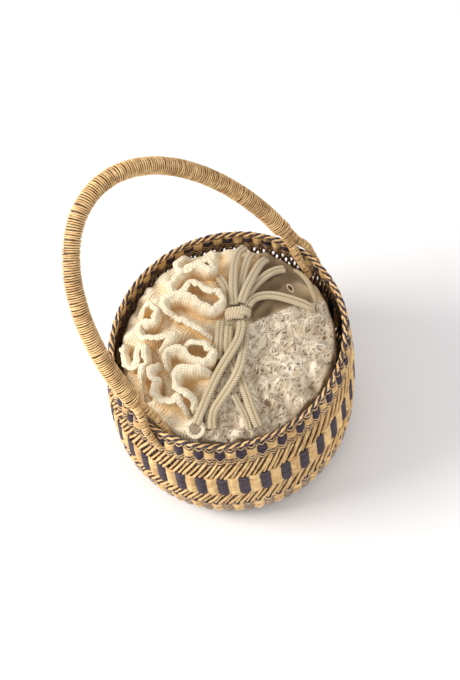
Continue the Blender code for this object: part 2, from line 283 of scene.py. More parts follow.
# %% Sweeping a straw along a path
def oval_profile(name, wide, thick, sides=8):
    """A closed oval for sweeping: wide is measured up the wall, thick through it."""
    data = bpy.data.curves.new(name, "CURVE")
    data.dimensions = "2D"
    spline = data.splines.new("POLY")
    spline.points.add(sides - 1)
    for index, point in enumerate(spline.points):
        turn = math.tau * index / sides
        point.co = (thick / 2 * math.cos(turn), wide / 2 * math.sin(turn), 0, 1)
    spline.use_cyclic_u = True
    made = bpy.data.objects.new(name, data)
    bpy.context.scene.collection.objects.link(made)
    return made


def add_piece(name, mesh, finishes=()):
    """A mesh becomes an object at the origin, with its finishes."""
    for finish in finishes:
        mesh.materials.append(finish)
    mesh.shade_smooth()
    made = bpy.data.objects.new(name, mesh)
    bpy.context.scene.collection.objects.link(made)
    return made


def swept(name, paths, finishes, profile=None, depth=None, closed=False, upright=True, resolution=1):
    """One mesh from many paths. Each path is (points, finish number, thickness factors or None)."""
    curve = bpy.data.curves.new(name + "_paths", "CURVE")
    curve.dimensions = "3D"
    curve.twist_mode = "Z_UP" if upright else "MINIMUM"
    curve.use_fill_caps = not closed
    for finish in finishes:
        curve.materials.append(finish)
    if profile:
        curve.bevel_mode = "OBJECT"
        curve.bevel_object = profile
    else:
        curve.bevel_depth = depth
        curve.bevel_resolution = resolution
    for places, finish, factors in paths:
        spline = curve.splines.new("POLY")
        spline.points.add(len(places) - 1)
        flat = [value for place in places for value in (*place, 1.0)]
        spline.points.foreach_set("co", flat)
        if factors:
            spline.points.foreach_set("radius", factors)
        spline.use_cyclic_u = closed
        spline.material_index = finish
        spline.use_smooth = True
    guide = bpy.data.objects.new(name + "_paths", curve)
    bpy.context.scene.collection.objects.link(guide)
    mesh = bpy.data.meshes.new_from_object(guide.evaluated_get(bpy.context.evaluated_depsgraph_get()))
    bpy.data.objects.remove(guide)
    mesh.name = name
    bm = bmesh.new()
    bm.from_mesh(mesh)
    bmesh.ops.remove_doubles(bm, verts=bm.verts, dist=1e-6)
    bmesh.ops.recalc_face_normals(bm, faces=bm.faces)
    bm.to_mesh(mesh)
    bm.free()
    return add_piece(name, mesh)


def settle(piece, body, slot, *nodes):
    """The piece stands for its solids and rides on their body."""
    if nodes:
        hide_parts(*nodes)
    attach(piece, body)
    print(piece.name, len(piece.data.polygons), "faces")
    return piece


print("Straws can be swept along paths")

# %% [markdown]
# Twining takes two straws round the wall together. At each rib one passes outside and the other inside, and
# they change places before the next rib. With a tan and a purple straw and an even number of ribs, the
# same colour comes out at the same rib in every row, so plain rows stack into tan and purple blocks.
# Thin rows stay outside all the way and only bulge over each rib, so they read as wavy lines.

# %% Rows round the wall
STEPS_PER_RIB = 6
STEPS = RIBS * STEPS_PER_RIB
TAN, DARK, GREY = range(3)
row_finishes = [golden_straw, purple_straw, grey_straw]
PAIR_UNEVEN_OUT, PAIR_UNEVEN_UP = 0.35 * MM, 0.5 * MM
LINE_UNEVEN_OUT, LINE_UNEVEN_UP = 0.3 * MM, 0.4 * MM
LINE_RISE = 0.9


def uneven(turn, row, size):
    """The small unevenness of handwork, the same every time."""
    return size * noise.noise(Vector((9 * math.cos(turn), 9 * math.sin(turn), 7.3 * row)))


def twined_pair(z, colours, swing, lift=0.0):
    """Two straws that swing in and out of the wall in turn, half a wave apart."""
    pair = []
    for side, colour in enumerate(colours):
        places = []
        for step in range(STEPS):
            turn = math.tau * step / STEPS
            phase = (turn - FIRST_RIB) * RIBS / 2 + math.pi * side
            out = swing * math.cos(phase) + uneven(turn, z / MM + side, PAIR_UNEVEN_OUT)
            up = lift * math.sin(phase) + uneven(turn, z / MM + side + 50, PAIR_UNEVEN_UP)
            places.append(on_wall(turn, z + up, out))
        pair.append((places, colour, None))
    return pair


def wavy_row(z, colour, bulge, out):
    """One thin straw that bulges over each rib and dips between them."""
    places = []
    for step in range(STEPS):
        turn = math.tau * step / STEPS
        wave = math.cos((turn - FIRST_RIB) * RIBS)
        up = uneven(turn, z / MM, LINE_UNEVEN_UP) - LINE_RISE * bulge * wave
        bulged = out + bulge * wave + uneven(turn, z / MM + 20, LINE_UNEVEN_OUT)
        places.append(on_wall(turn, z + up, bulged))
    return [(places, colour, None)]


wide_straw = oval_profile("wide_straw_profile", 3.75 * MM, 2.3 * MM, sides=10)
check_straw = oval_profile("check_straw_profile", 3.1 * MM, 1.7 * MM)
thin_straw = oval_profile("thin_straw_profile", 1.9 * MM, 1.7 * MM, sides=6)
print(RIBS, "ribs, and", STEPS, "points in each row")

# %% Block band
BLOCK_LOW, BLOCK_HIGH = 65 * MM, 97 * MM
BLOCK_ROWS = 8
SWING = 1.95 * MM
paths = []
for row in range(BLOCK_ROWS):
    height = BLOCK_LOW + (BLOCK_HIGH - BLOCK_LOW) * (row + 0.5) / BLOCK_ROWS
    paths += twined_pair(height, (DARK, TAN), SWING)
block_rows = swept("block_rows", paths, row_finishes, wide_straw, closed=True)
settle(block_rows, "basket", "dark_straw", "block_band")

# %% [markdown]
# Above the lattice come thin light and dark lines, then a row of small checks made of four plain rows, then
# thin lines again up to the rim. Under the lower lattice the rows are greyer and plainer.

# %% Upper and lower rows
UPPER_LINES = (123.0, 124.9, 126.8, 128.7, 130.6)
CHECK_ROWS = (133.0, 135.3, 137.6, 139.9)
RIM_LINES = (142.4, 144.2, 146.0)
LOWER_LINES = (42.2, 40.0, 31.4, 29.2)
LOWER_PAIRS = (37.2, 34.2, 26.2, 23.2, 20.2, 17.2, 14.4)
LOWER_LIFT = 0.3 * MM
LINE_OUT = 0.5 * MM
LINE_IN = -1.1 * MM
BULGE = 1.1 * MM


def lines_at(heights, outer, inner):
    """Thin wavy lines outside the ribs and their partners inside, in two colours by turns."""
    found = []
    for row, height in enumerate(heights):
        found += wavy_row(height * MM, outer[row % 2], BULGE, LINE_OUT)
        found += wavy_row(height * MM, inner[row % 2], -0.8 * BULGE, LINE_IN)
    return found


paths = lines_at(UPPER_LINES, (DARK, TAN), (TAN, DARK))
for height in CHECK_ROWS:
    paths += twined_pair(height * MM, (DARK, TAN), SWING)
paths += lines_at(RIM_LINES, (DARK, TAN), (TAN, DARK))
upper_rows = swept("upper_rows", paths, row_finishes, thin_straw, closed=True)
settle(upper_rows, "basket", "dark_straw", "upper_twined_band")

paths = lines_at(LOWER_LINES, (DARK, TAN), (TAN, GREY))
for height in LOWER_PAIRS:
    paths += twined_pair(height * MM, (GREY, TAN), SWING, LOWER_LIFT)
lower_rows = swept("lower_rows", paths, row_finishes, check_straw, closed=True)
settle(lower_rows, "basket", "golden_straw", "lower_twined_band")

# %% [markdown]
# Between the bands the ribs lie bare. Each rib is a pair of round straws that slants across to the next rib's
# place, so the two lattices lean like a row of slashes. Dark straws inside the pairs fill the gaps between
# them as painted shade.

# %% Lattices and upright ribs
LATTICES = (
    ("upper_straws", 97 * MM, 122 * MM, "upper_straw_lattice"),
    ("lower_straws", 44 * MM, 65 * MM, "lower_straw_lattice"),
)
STRAW_RADIUS = 1.15 * MM
LEAN_RIBS = 1.5
BACK_LEAN_RIBS = 0.8
TUCK = 3 * MM
HALF_PAIR = 2.1 * MM
PAIR_BOW = 0.9 * MM
PAIR_OUT = 0.6 * MM
BACK_OUT = -1.5 * MM
LATTICE_STEPS = 8
RIB_STRETCHES = ((13 * MM, 44 * MM), (65 * MM, 97 * MM), (122 * MM, 147 * MM))
RIB_STRAW = 1.0 * MM
RIB_STEPS = 4


def leaning_straw(rib, side, low, high):
    """One straw of a pair, which bows away from its partner, and how thick it is along its way."""
    places = []
    factors = []
    for step in range(LATTICE_STEPS + 1):
        share = step / LATTICE_STEPS
        turn = FIRST_RIB + math.tau * (rib + LEAN_RIBS * share) / RIBS + side * (HALF_PAIR / BELLY_RADIUS)
        height = low - TUCK + (high - low + 2 * TUCK) * share
        bow = PAIR_BOW * math.sin(math.pi * share) * side
        places.append(on_wall(turn + uneven(turn, rib, 0.016), height, PAIR_OUT + bow))
        factors.append(1.0 + uneven(turn * 7, rib + side, 0.35))
    return places, factors


def back_straw(rib, side, low, high):
    """A dark straw inside the pair, which leans the other way. Its dark colour is painted shade for the gap.
    """
    places = []
    for step in range(LATTICE_STEPS + 1):
        turn = FIRST_RIB + math.tau * (rib + side / 4 - BACK_LEAN_RIBS * step / LATTICE_STEPS) / RIBS
        height = low - TUCK + (high - low + 2 * TUCK) * step / LATTICE_STEPS
        places.append(on_wall(turn, height, BACK_OUT))
    return places


for name, low, high, node in LATTICES:
    paths = []
    for rib in range(RIBS):
        for side in (-1, 1):
            places, factors = leaning_straw(rib, side, low, high)
            paths.append((places, 0, factors))
            paths.append((back_straw(rib, side, low, high), 1, factors))
    straws = swept(name, paths, [golden_straw, rib_and_gap_shade_straw], depth=STRAW_RADIUS, upright=False, resolution=2)
    settle(straws, "basket", "golden_straw", node)

# The ribs get the same dark straw. Where they show between the rows, its dark stands for shade.
paths = []
for low, high in RIB_STRETCHES:
    for rib in range(RIBS):
        turn = FIRST_RIB + math.tau * rib / RIBS
        heights = [low + (high - low) * step / RIB_STEPS for step in range(RIB_STEPS + 1)]
        paths.append(([on_wall(turn, height) for height in heights], 0, None))
ribs = swept("upright_ribs", paths, [rib_and_gap_shade_straw], depth=RIB_STRAW, upright=False)
settle(ribs, "basket", "golden_straw")

# %% [markdown]
# The rim and the foot are finished with a braid that lies like a rope round the edge. Two tan and two purple
# straws circle the same line, a quarter turn apart, so a tan knuckle shows at every rib with purple between.
# The foot gets two such ropes, one on the other. Each straw is thicker where it comes out at a knuckle.

# %% Rim and foot braids
BRAID_RADIUS = 2.1 * MM
BRAID_LAY = 1.25 * MM
BRAID_INSET = 0.4 * MM
RIM_Z = HEIGHT - BRAID_RADIUS
UPPER_FOOT_Z, LOWER_FOOT_Z = 9.9 * MM, 7.0 * MM


def rope(height, colours):
    """Straws that circle one line round the wall, like a rope."""
    paths = []
    for strand, colour in enumerate(colours):
        places = []
        factors = []
        for step in range(STEPS):
            turn = math.tau * step / STEPS
            wander = 0.9 * noise.noise(Vector((30 * math.cos(turn), 30 * math.sin(turn), strand)))
            phase = (turn - FIRST_RIB) * RIBS / 2 + math.tau * strand / len(colours) + wander
            knuckle = max(0.0, math.cos(phase - 0.6))
            out = BRAID_LAY * math.cos(phase) - BRAID_INSET + uneven(turn, strand, 0.5 * MM)
            up = BRAID_LAY * math.sin(phase) + uneven(turn * 3, strand + 9, 0.7 * MM)
            places.append(on_wall(turn, height + up, out))
            thick = (0.72 if colour == TAN else 0.8) + 0.42 * knuckle**2
            factors.append(thick + uneven(turn * 9, strand, 0.2))
        paths.append((places, colour, factors))
    return paths


braid_straw = oval_profile("braid_straw_profile", 2.3 * MM, 2.0 * MM)
rim = swept("rim_braid_straws", rope(RIM_Z, (TAN, DARK, TAN, DARK)), row_finishes, braid_straw, closed=True)
settle(rim, "basket", "dark_straw", "rim_braid")
foot_paths = rope(UPPER_FOOT_Z, (TAN, GREY, TAN, DARK)) + rope(LOWER_FOOT_Z, (GREY, TAN, DARK, GREY))
foot = swept("foot_braid_straws", foot_paths, row_finishes, braid_straw, closed=True)
settle(foot, "basket", "dark_straw", "foot_braid")

# %% [markdown]
# The base is woven the same way but flat: pairs of straws circle the centre over spokes. The pairs are
# made as rings here, which look the same as one long spiral once they are pressed together.

# %% Base
BASE_RADIUS = 88 * MM
BASE_MIDDLE = 2.5 * MM
RING_WIDTH = 4.4 * MM
BASE_LIFT = 0.85 * MM
SPOKE_STEPS = 8


def base_ring(radius, colours):
    """A pair of straws that cross over each spoke. There are more spokes further out."""
    spokes = 8 if radius < 22 * MM else 18 if radius < 46 * MM else 36
    pair = []
    for side, colour in enumerate(colours):
        places = []
        for step in range(spokes * SPOKE_STEPS):
            turn = math.tau * step / (spokes * SPOKE_STEPS)
            lift = BASE_LIFT * math.cos(turn * spokes + math.pi * side)
            places.append(Vector((radius * math.cos(turn), radius * math.sin(turn), BASE_MIDDLE + lift)))
        pair.append((places, colour, None))
    return pair


flat_straw = oval_profile("flat_straw_profile", 1.4 * MM, 4.6 * MM)
paths = []
for ring in range(int(BASE_RADIUS / RING_WIDTH)):
    paths += base_ring(RING_WIDTH * (ring + 0.6), (TAN, GREY if ring % 3 else TAN))
base = swept("base_rings", paths, row_finishes, flat_straw, closed=True)
settle(base, "basket", "golden_straw", "base_weave")

for profile in (wide_straw, check_straw, thin_straw, braid_straw, flat_straw):
    bpy.data.objects.remove(profile)
print("Basket woven")

# %% [markdown]
# The handle is a bundle of straw bound turn by turn with a split straw. The binding is one helix along the
# handle's own curve. Hand binding is never even, so the turns lean and vary a little, and gaps open where the
# bundle's dark colour stands for the shade between the turns.

# %% Handle curve
HINGE = Vector((0, 0, 151 * MM))
LEAN = math.radians(41)
ARCH_HALF_SPAN = 98.8 * MM
ARCH_STRAIGHT = 16 * MM
ARCH_RISE = 160 * MM
ARCH_SKEW = 12.8 * MM
BINDING_RADIUS = 0.68 * MM
GRIP_RADIUS = 7.6 * MM
upright_to_leaning = Matrix.Translation(HINGE) @ Matrix.Rotation(-LEAN, 4, "X")


def arch_point(share):
    """A point on the leaning handle, from its left foot at 0 to its right foot at 1."""
    turn = math.pi * share
    x = -ARCH_HALF_SPAN * math.cos(turn) - ARCH_SKEW * math.sin(turn)
    return upright_to_leaning @ Vector((x, 0, ARCH_STRAIGHT + ARCH_RISE * math.sin(turn)))


print("Handle's top is", round(arch_point(0.5).z / MM), "mm above the floor")

# %% Even and smooth lines
def evenly(places, spacing):
    """Points at an even spacing along a line through the given points."""
    lengths = [0.0]
    for here, there in zip(places, places[1:]):
        lengths.append(lengths[-1] + (there - here).length)
    count = max(2, round(lengths[-1] / spacing))
    found = []
    index = 0
    for step in range(count + 1):
        goal = lengths[-1] * step / count
        while index < len(places) - 2 and lengths[index + 1] < goal:
            index += 1
        share = (goal - lengths[index]) / max(lengths[index + 1] - lengths[index], 1e-9)
        found.append(places[index].lerp(places[index + 1], min(1.0, share)))
    return found


def smooth_route(route):
    """A smooth curve (a Catmull-Rom spline) through a hand-laid route."""
    ends = [2 * route[0] - route[1]] + list(route) + [2 * route[-1] - route[-2]]
    fine = []
    for first, second, third, fourth in zip(ends, ends[1:], ends[2:], ends[3:]):
        for step in range(12):
            t = step / 12
            fine.append(0.5 * (
                2 * second
                + (third - first) * t
                + (2 * first - 5 * second + 4 * third - fourth) * t**2
                + (3 * second - first - 3 * third + fourth) * t**3
            ))
    fine.append(route[-1])
    return fine


def length_of(line):
    return sum((there - here).length for here, there in zip(line, line[1:]))


print("Handle is", round(length_of([arch_point(step / 99) for step in range(100)]) / MM), "mm long")

# %% Helix of a binding
TURN_STEPS = 14


def bound(centres, radius_at, pitch, side, seed):
    """A helix of binding straw round a centre line. side is any direction across the line."""
    line = evenly(centres, pitch / TURN_STEPS)
    places = []
    for step, centre in enumerate(line):
        share = step / (len(line) - 1)
        ahead = (line[min(step + 1, len(line) - 1)] - line[max(step - 1, 0)]).normalized()
        first = (side - ahead * side.dot(ahead)).normalized()
        second = ahead.cross(first)
        turn = math.tau * step / TURN_STEPS
        along = step * pitch / TURN_STEPS
        loose = noise.noise(Vector((along * 900, seed, 0)))
        lean = 1.5 * MM * noise.noise(Vector((along * 330, seed, 4)))
        radius = radius_at(share) + 0.45 * MM * loose
        spread = first * math.cos(turn) + second * math.sin(turn)
        places.append(centre + spread * radius + ahead * lean * math.cos(turn + 1.3))
    return places


print("A binding has", TURN_STEPS, "points in each turn")

# %% Binding on the grip
BINDING_PITCH = 1.92 * MM
ARCH_START = 0.0222
ARCH_STEPS = 240
arch_shares = [ARCH_START + (1 - 2 * ARCH_START) * step / ARCH_STEPS for step in range(ARCH_STEPS + 1)]
arch = [arch_point(share) for share in arch_shares]
across = Matrix.Rotation(-LEAN, 3, "X") @ Vector((0, 1, 0))
binding = bound(arch, lambda share: GRIP_RADIUS - BINDING_RADIUS, BINDING_PITCH, across, 1.0)
grip = swept("grip_binding", [(binding, 0, None)], [wrap_straw], depth=BINDING_RADIUS, upright=False)
settle(grip, "handle", "handle_straw", "handle_wrap")
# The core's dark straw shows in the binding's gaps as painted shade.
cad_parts["handle_core"].data.materials.clear()
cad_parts["handle_core"].data.materials.append(bundle_straw)

# %% [markdown]
# At both ends the bundle splits in two. One half goes down outside the rim and one inside, and both are
# bound and sewn to the wall. Each half is one piece that follows the handle above the rim and the basket
# below it.

# %% Forked ends
NECK = 30 * MM
SHOULDER = 22 * MM
ELBOW = 11 * MM
HINGE_X = {"outer": 107.2 * MM, "inner": 94.0 * MM}
SPREAD = {"outer": 2.4 * MM, "inner": -2.4 * MM}
LEG_SLANT = math.radians(35)
LEG_LENGTH = {"outer": 21 * MM, "inner": 24 * MM}
LEG_PITCH = 1.55 * MM
LEG_TAPER = 0.28
LEG_STRAW = BINDING_RADIUS * 0.92
HALF_RADIUS = 3.7 * MM
BEND = 5 * MM
DOWN = Vector((0, -math.sin(LEG_SLANT), -math.cos(LEG_SLANT)))
LEANING = (upright_to_leaning.to_3x3() @ Vector((0, 0, 1))).normalized()


def leg_radius(share):
    """A leg tapers over its lower half."""
    return HALF_RADIUS * (1 - LEG_TAPER * max(0.0, share - 0.5) * 2)


def binding_radius(share):
    return leg_radius(share) - BINDING_RADIUS * 0.8


def leg_line(side, place):
    """From the handle's neck over the rim and down the wall."""
    high, hinge = ARCH_HALF_SPAN + SPREAD[place], HINGE_X[place]
    neck = (high, NECK), (ARCH_HALF_SPAN + SPREAD[place] * 1.1, SHOULDER), (0.7 * high + 0.3 * hinge, ELBOW)
    above = [upright_to_leaning @ Vector((side * x, 0, z)) for x, z in neck]
    over = Vector((side * hinge, 0, HINGE.z))
    below = [over + DOWN * LEG_LENGTH[place] * share for share in (0.35, 0.7, 1.0)]
    return over, smooth_route(above + [over] + below)


for side, word in ((-1, "left"), (1, "right")):
    for place in HINGE_X:
        over, line = leg_line(side, place)
        seed = side * 3.0 + SPREAD[place]
        binding = bound(line, binding_radius, LEG_PITCH, Vector((1, 0, 0)), seed)
        core = evenly(line, 2 * MM)
        thick = [(leg_radius(step / (len(core) - 1)) - 0.9 * MM) / LEG_STRAW for step in range(len(core))]
        leg = swept(
            f"{place}_leg_binding_{word}",
            [(binding, 0, None), (core, 1, thick)],
            [wrap_straw, bundle_straw],
            depth=LEG_STRAW,
            upright=False,
        )
        nodes = [f"{place}_leg_{word}"] + ([f"handle_fork_{word}"] if place == "outer" else [])
        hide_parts(*nodes)
        tuple(over + DOWN * BEND)
        tuple(over + LEANING * BEND)
        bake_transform(leg)
        print(leg.name, len(leg.data.polygons), "faces")

# %% [markdown]
# The pouch is cotton and crochet. Crochet is a grid of round stitches with a small hole at each corner. Where
# folds hide it from the light it gets a painted golden shade and a painted glow. Its stitches follow the
# cloth's own UV map in metres. A value kept on each cloth is its painted shade: 0 on open cloth and 1 at the
# bottom of a fold.

# %% Cloth finishes
CROCHET_COLUMNS, CROCHET_ROWS = 440, 400  # stitches in a metre
COTTON_THREADS = 620
CORD_STITCHES = 640
# The darker cord colour is painted shade between the stitches.
CORD_LIGHT, CORD_SHADE = (0.84, 0.70, 0.47), (0.32, 0.21, 0.09)


def painted_shade_of(finish):
    """How much painted shade the cloth gets, from 0 to 1: most at the bottom of a fold."""
    made = finish.tree.nodes.new("ShaderNodeAttribute")
    made.attribute_name = "painted_shade"
    return Value(finish, made.outputs["Fac"])


def crochet_finish():
    """Round stitches on a grid that is pulled out of line, with a hole where four of them meet. The holes and
    the folds get painted shade, and the folds a painted golden glow.
    """
    finish = Finish("ecru crochet", 0.85, Sheen_Weight=0.25, Sheen_Roughness=0.5)
    finish.shader.inputs["Subsurface Weight"].default_value = 0.12
    finish.shader.inputs["Subsurface Radius"].default_value = (0.004, 0.0026, 0.0014)
    cloth = finish.place(source="UV")
    drift = finish.node("TexNoise", {}, Vector=cloth, Scale=170.0, output=1)
    pulled = finish.node("VectorMath", {"operation": "MULTIPLY_ADD"}, drift, (0.0022, 0.0022, 0), cloth)
    split = finish.node("SeparateXYZ", {}, pulled)
    columns = finish.waves(split, CROCHET_COLUMNS)
    rows = finish.waves(Value(finish, split.socket.node.outputs[1]), CROCHET_ROWS)
    yarn = finish.noise(cloth, 1500, 3.0)
    soft = finish.noise(cloth, 60, 2.0)
    stitches = columns * 0.5 + rows * 0.5
    painted_shade = painted_shade_of(finish)
    holes = finish.ramp(stitches, [(0.08, 1.0), (0.26, 0.0)])
    open_cloth = finish.blend(soft, (0.95, 0.86, 0.68), (0.89, 0.76, 0.53))
    # Painted shade: golden in the folds.
    fold_shaded = finish.blend(finish.ramp(painted_shade, [(0.12, 0.0), (0.75, 1.0)]), open_cloth, (0.82, 0.58, 0.30))
    # Painted glow in the folds, standing for light through the cloth.
    painted_glow = finish.blend(painted_shade, (0.0, 0.0, 0.0), (0.95, 0.62, 0.26))
    finish.plug(finish.shader.inputs["Emission Color"], painted_glow)
    finish.shader.inputs["Emission Strength"].default_value = 0.07
    # Painted shade in the stitch holes.
    colour = finish.blend(holes * 0.35, fold_shaded, (0.62, 0.38, 0.15))
    height = stitches + yarn * 0.35
    return finish.use(colour, None, finish.bumps(height, 1.0 * MM, 0.85))


def cotton_finish():
    """A coarse plain weave, turned a little to the seam, with thick places in its threads and painted shade
    where the cloth lies in shade.
    """
    finish = Finish("beige cotton", 0.88, Sheen_Weight=0.2, Sheen_Roughness=0.5)
    cloth = finish.place(source="UV")
    turned = finish.place(turn=(0, 0, 0.35), source="UV")
    split = finish.node("SeparateXYZ", {}, turned)
    across = finish.waves(split, COTTON_THREADS)
    along = finish.waves(Value(finish, split.socket.node.outputs[1]), COTTON_THREADS)
    slubs = finish.noise(finish.place(scale=(1, 5, 1), source="UV"), 300, 3.0)
    soft = finish.noise(cloth, 45, 3.0)
    painted_shade = painted_shade_of(finish)
    plain = finish.blend(soft, (0.72, 0.56, 0.35), (0.57, 0.41, 0.22))
    flecked = finish.blend(finish.ramp(slubs, [(0.55, 0.0), (0.75, 0.5)]), plain, (0.74, 0.60, 0.39))
    # Painted shade: much darker where the cloth lies in shade.
    colour = finish.blend(finish.ramp(painted_shade, [(0.1, 0.0), (1.0, 0.85)]), flecked, (0.17, 0.10, 0.045))
    weave = across * 0.5 + along * 0.5 + slubs * 0.9
    return finish.use(colour, None, finish.bumps(weave, 0.5 * MM, 0.75))


def lace_finish():
    """Cream thread in scrolls and solid clumps on a net, with slits that open at their middle and are
    darkened round it by painted shade.
    """
    finish = Finish("floral lace", 0.80, Sheen_Weight=0.2)
    cloth = finish.place(source="UV")
    drift = finish.node("TexNoise", {}, Vector=cloth, Scale=60.0, Detail=1.0, output=1)
    moved = finish.node("VectorMath", {"operation": "MULTIPLY_ADD"}, drift, (0.016, 0.016, 0), cloth)
    leaning = finish.node("Mapping", {}, moved, None, (0, 0, 0.7), (1.0, 2.3, 1.0))
    leaves = finish.cells(leaning, 300, 0.95)
    net = finish.cells(moved, 620, 0.8)
    scrolls = finish.cells(leaning, 120, 0.9, "DISTANCE_TO_EDGE")
    clumps = finish.noise(moved, 130, 2.0)
    thread = finish.noise(cloth, 1500, 3.0)
    motif = finish.ramp(clumps, [(0.54, 0.0), (0.60, 1.0)])
    scroll = finish.ramp(scrolls, [(0.02, 1.0), (0.07, 0.0)])
    solid = motif.math("MAXIMUM", scroll)
    leaf_holes = finish.ramp(leaves, [(0.20, 1.0), (0.38, 0.0)]) * (1 - motif * 0.9)
    net_holes = finish.ramp(net, [(0.10, 1.0), (0.24, 0.0)]) * (1 - solid)
    holes = leaf_holes.math("MAXIMUM", net_holes)
    alpha = 1 - finish.ramp(holes, [(0.70, 0.0), (0.90, 1.0)])
    height = scroll * 0.35 + thread * 0.5 - holes * 0.3
    shade = finish.ramp(solid * 0.3 + thread * 0.7, [(0.28, 0.0), (0.60, 1.0)])
    ground = finish.blend(shade, (0.50, 0.39, 0.26), (0.78, 0.67, 0.51))
    patches = finish.ramp(finish.noise(cloth, 34, 2.0), [(0.42, 0.15), (0.60, 0.6)])
    threads = finish.blend(scroll * patches, ground, (0.93, 0.88, 0.78))
    # Painted shade round the holes, which are open only at their middle.
    colour = finish.blend(finish.ramp(holes, [(0.10, 0.0), (0.50, 0.85)]), threads, (0.17, 0.105, 0.05))
    return finish.use(colour, None, finish.bumps(height, 0.3 * MM, 0.7), alpha)


def cord_finish():
    """Two columns of slanting stitches that meet in a groove along the middle, with painted shade between the
    stitches and in the groove.
    """
    finish = Finish("braided cord", 0.78, Sheen_Weight=0.25)
    split = finish.node("SeparateXYZ", {}, finish.place(source="UV"))
    round_it = Value(finish, split.socket.node.outputs[1])
    slant = (round_it * 2.0).math("FRACT") - 0.5
    slope = slant.math("ABSOLUTE") * 2.0
    stitches = finish.waves(split * CORD_STITCHES + slope * 1.3, 1.0)
    yarn = finish.noise(finish.place(scale=(900, 30, 1), source="UV"), 1.0, 2.0)
    soft = finish.noise(finish.place(), 90, 2.0)
    shade = stitches * 0.75 + yarn * 0.25
    # Yarn tone, and painted shade between the stitches.
    colour = finish.blend(finish.ramp(shade, [(0.08, 0.0), (0.5, 1.0)]), CORD_SHADE, CORD_LIGHT)
    tinted = finish.blend(soft * 0.4, colour, (0.80, 0.65, 0.42))
    # Painted shade along the middle groove.
    groove = finish.ramp(slope, [(0.03, 0.75), (0.17, 0.0)])
    tinted = finish.blend(groove, tinted, (0.30, 0.19, 0.085))
    return finish.use(tinted, None, finish.bumps(stitches + yarn * 0.3, 0.8 * MM, 0.9))


crochet = crochet_finish()
cotton = cotton_finish()
lace = lace_finish()
braided = cord_finish()
# Painted shadow: a dark disc stands for the dark behind the cloth in the buttonhole.
buttonhole_shadow = Finish("buttonhole shadow", 0.9)  # the dark behind the cloth
hole_speck = buttonhole_shadow.noise(buttonhole_shadow.place(), 700, 2.0)
buttonhole_shadow.use(buttonhole_shadow.blend(hole_speck, (0.045, 0.028, 0.014), (0.10, 0.065, 0.035)))
print("Cloth finishes made")

# %% [markdown]
# The pouch's top is a low crown that sinks where the cord pulls folds into it. Its height over any point is
# one sum: the crown, the listed folds, radial gathers near the edge and a little unevenness. A cloth is
# spun from one radius, cut along the seam, and then raised to that height.

# %% Height of the pouch's top
DOME_TOP = 161 * MM
DOME_DROP = 18 * MM
DOME_RADIUS = 84 * MM
DOME_POWER = 2.4
EDGE_RADIUS = 87 * MM
EDGE_DROP = 17 * MM
SEAM_ANGLE = math.radians(22)
SEAM_POINT = Vector((-4 * MM, 0, 0))
OVAL_X, OVAL_Y = 1.02, 0.98
GATHERS = 23
CROCHET_LUMPS, COTTON_LUMPS = 6.5, 1.2
FOLDS = [
    ([(-6, -19), (2, -27), (14, -33), (34, -40)], 5.0, -5.5),
    ([(-15, -31), (-21, -46), (-29, -58), (-36, -72)], 4.2, -5.0),
    ([(-6, -34), (-8, -50), (-14, -66), (-18, -80)], 3.4, -3.5),
    ([(-46, -24), (-58, -30), (-74, -40)], 4.0, -4.0),
    ([(-40, -48), (-52, -52), (-70, -50)], 3.2, -3.0),
    ([(24, -8), (46, -16), (70, -30)], 5.0, -3.2),
    ([(20, 20), (44, 42), (60, 54)], 4.0, -3.0),
    ([(40, -52), (52, -58), (66, -54)], 6.0, -2.5),
    ([(-30, 60), (-24, 70), (-16, 82)], 4.0, -3.0),
    ([(-60, 30), (-70, 36), (-80, 38)], 4.0, -3.0),
    ([(2, 66), (4, 76), (4, 86)], 4.0, -2.5),
    ([(16, -42), (28, -60), (36, -80)], 3.6, -4.2),
    ([(30, -38), (46, -54), (56, -66)], 3.4, -3.6),
    ([(-2, -56), (6, -70), (12, -86)], 3.2, -3.6),
    ([(26, -36), (38, -56), (46, -74)], 4.0, 3.2),
    ([(14, -56), (22, -72), (26, -84)], 3.6, 2.6),
    ([(44, -34), (60, -46), (70, -52)], 3.6, 2.4),
    ([(28, -26), (48, -36), (70, -44)], 3.6, -3.2),
    ([(26, 6), (50, 14), (74, 12)], 4.0, -3.4),
    ([(24, -2), (48, 0), (78, -8)], 3.6, -3.0),
]


def crown(x, y):
    """The height of the smooth crown."""
    return DOME_TOP - DOME_DROP * (math.hypot(x / OVAL_X, y / OVAL_Y) / DOME_RADIUS) ** DOME_POWER


def from_line(x, y, line):
    """How far a point is from a line of points, both in mm."""
    nearest = 1e9
    for (ax, ay), (bx, by) in zip(line, line[1:]):
        wide, tall = bx - ax, by - ay
        share = max(0.0, min(1.0, ((x - ax) * wide + (y - ay) * tall) / (wide * wide + tall * tall)))
        nearest = min(nearest, math.hypot(x - ax - wide * share, y - ay - tall * share))
    return nearest


def fold_depth(x, y):
    """The folds' height over a point in mm: below zero in a fold."""
    depth = 0.0
    for line, width, height in FOLDS:
        depth += height * math.exp(-((from_line(x / MM, y / MM, line) / width) ** 2))
    return depth


def top_height(x, y, lumps):
    """The height of the finished top, where lumps says how uneven its left half is, in mm."""
    away = math.hypot(x, y)
    turn = math.atan2(y, x)
    wander = 5 * noise.noise(Vector((x, y, 0)) * 32)
    gathers = math.sin(GATHERS * turn + wander) * max(0.0, away / MM - 18) / 60
    free = min(1.0, max(0.0, (6 - x / MM) / 20))
    rough = noise.noise(Vector((x, y, 0.3)) * 62) * lumps * free
    creases = 1 - abs(noise.noise(Vector((x * 1.3 + 0.4 * y, y * 0.7 - 0.3 * x, 0.7)) * 48)) * 7
    creases += 0.4 - abs(noise.noise(Vector((x, y, 0.1)) * 95)) * 3
    creases *= 1 + 0.9 * free
    return crown(x, y) + (fold_depth(x, y) + 1.7 * gathers + rough + creases - 2.2) * MM


print("Top is", round(top_height(0, 0, CROCHET_LUMPS) / MM), "mm above the floor at its middle")
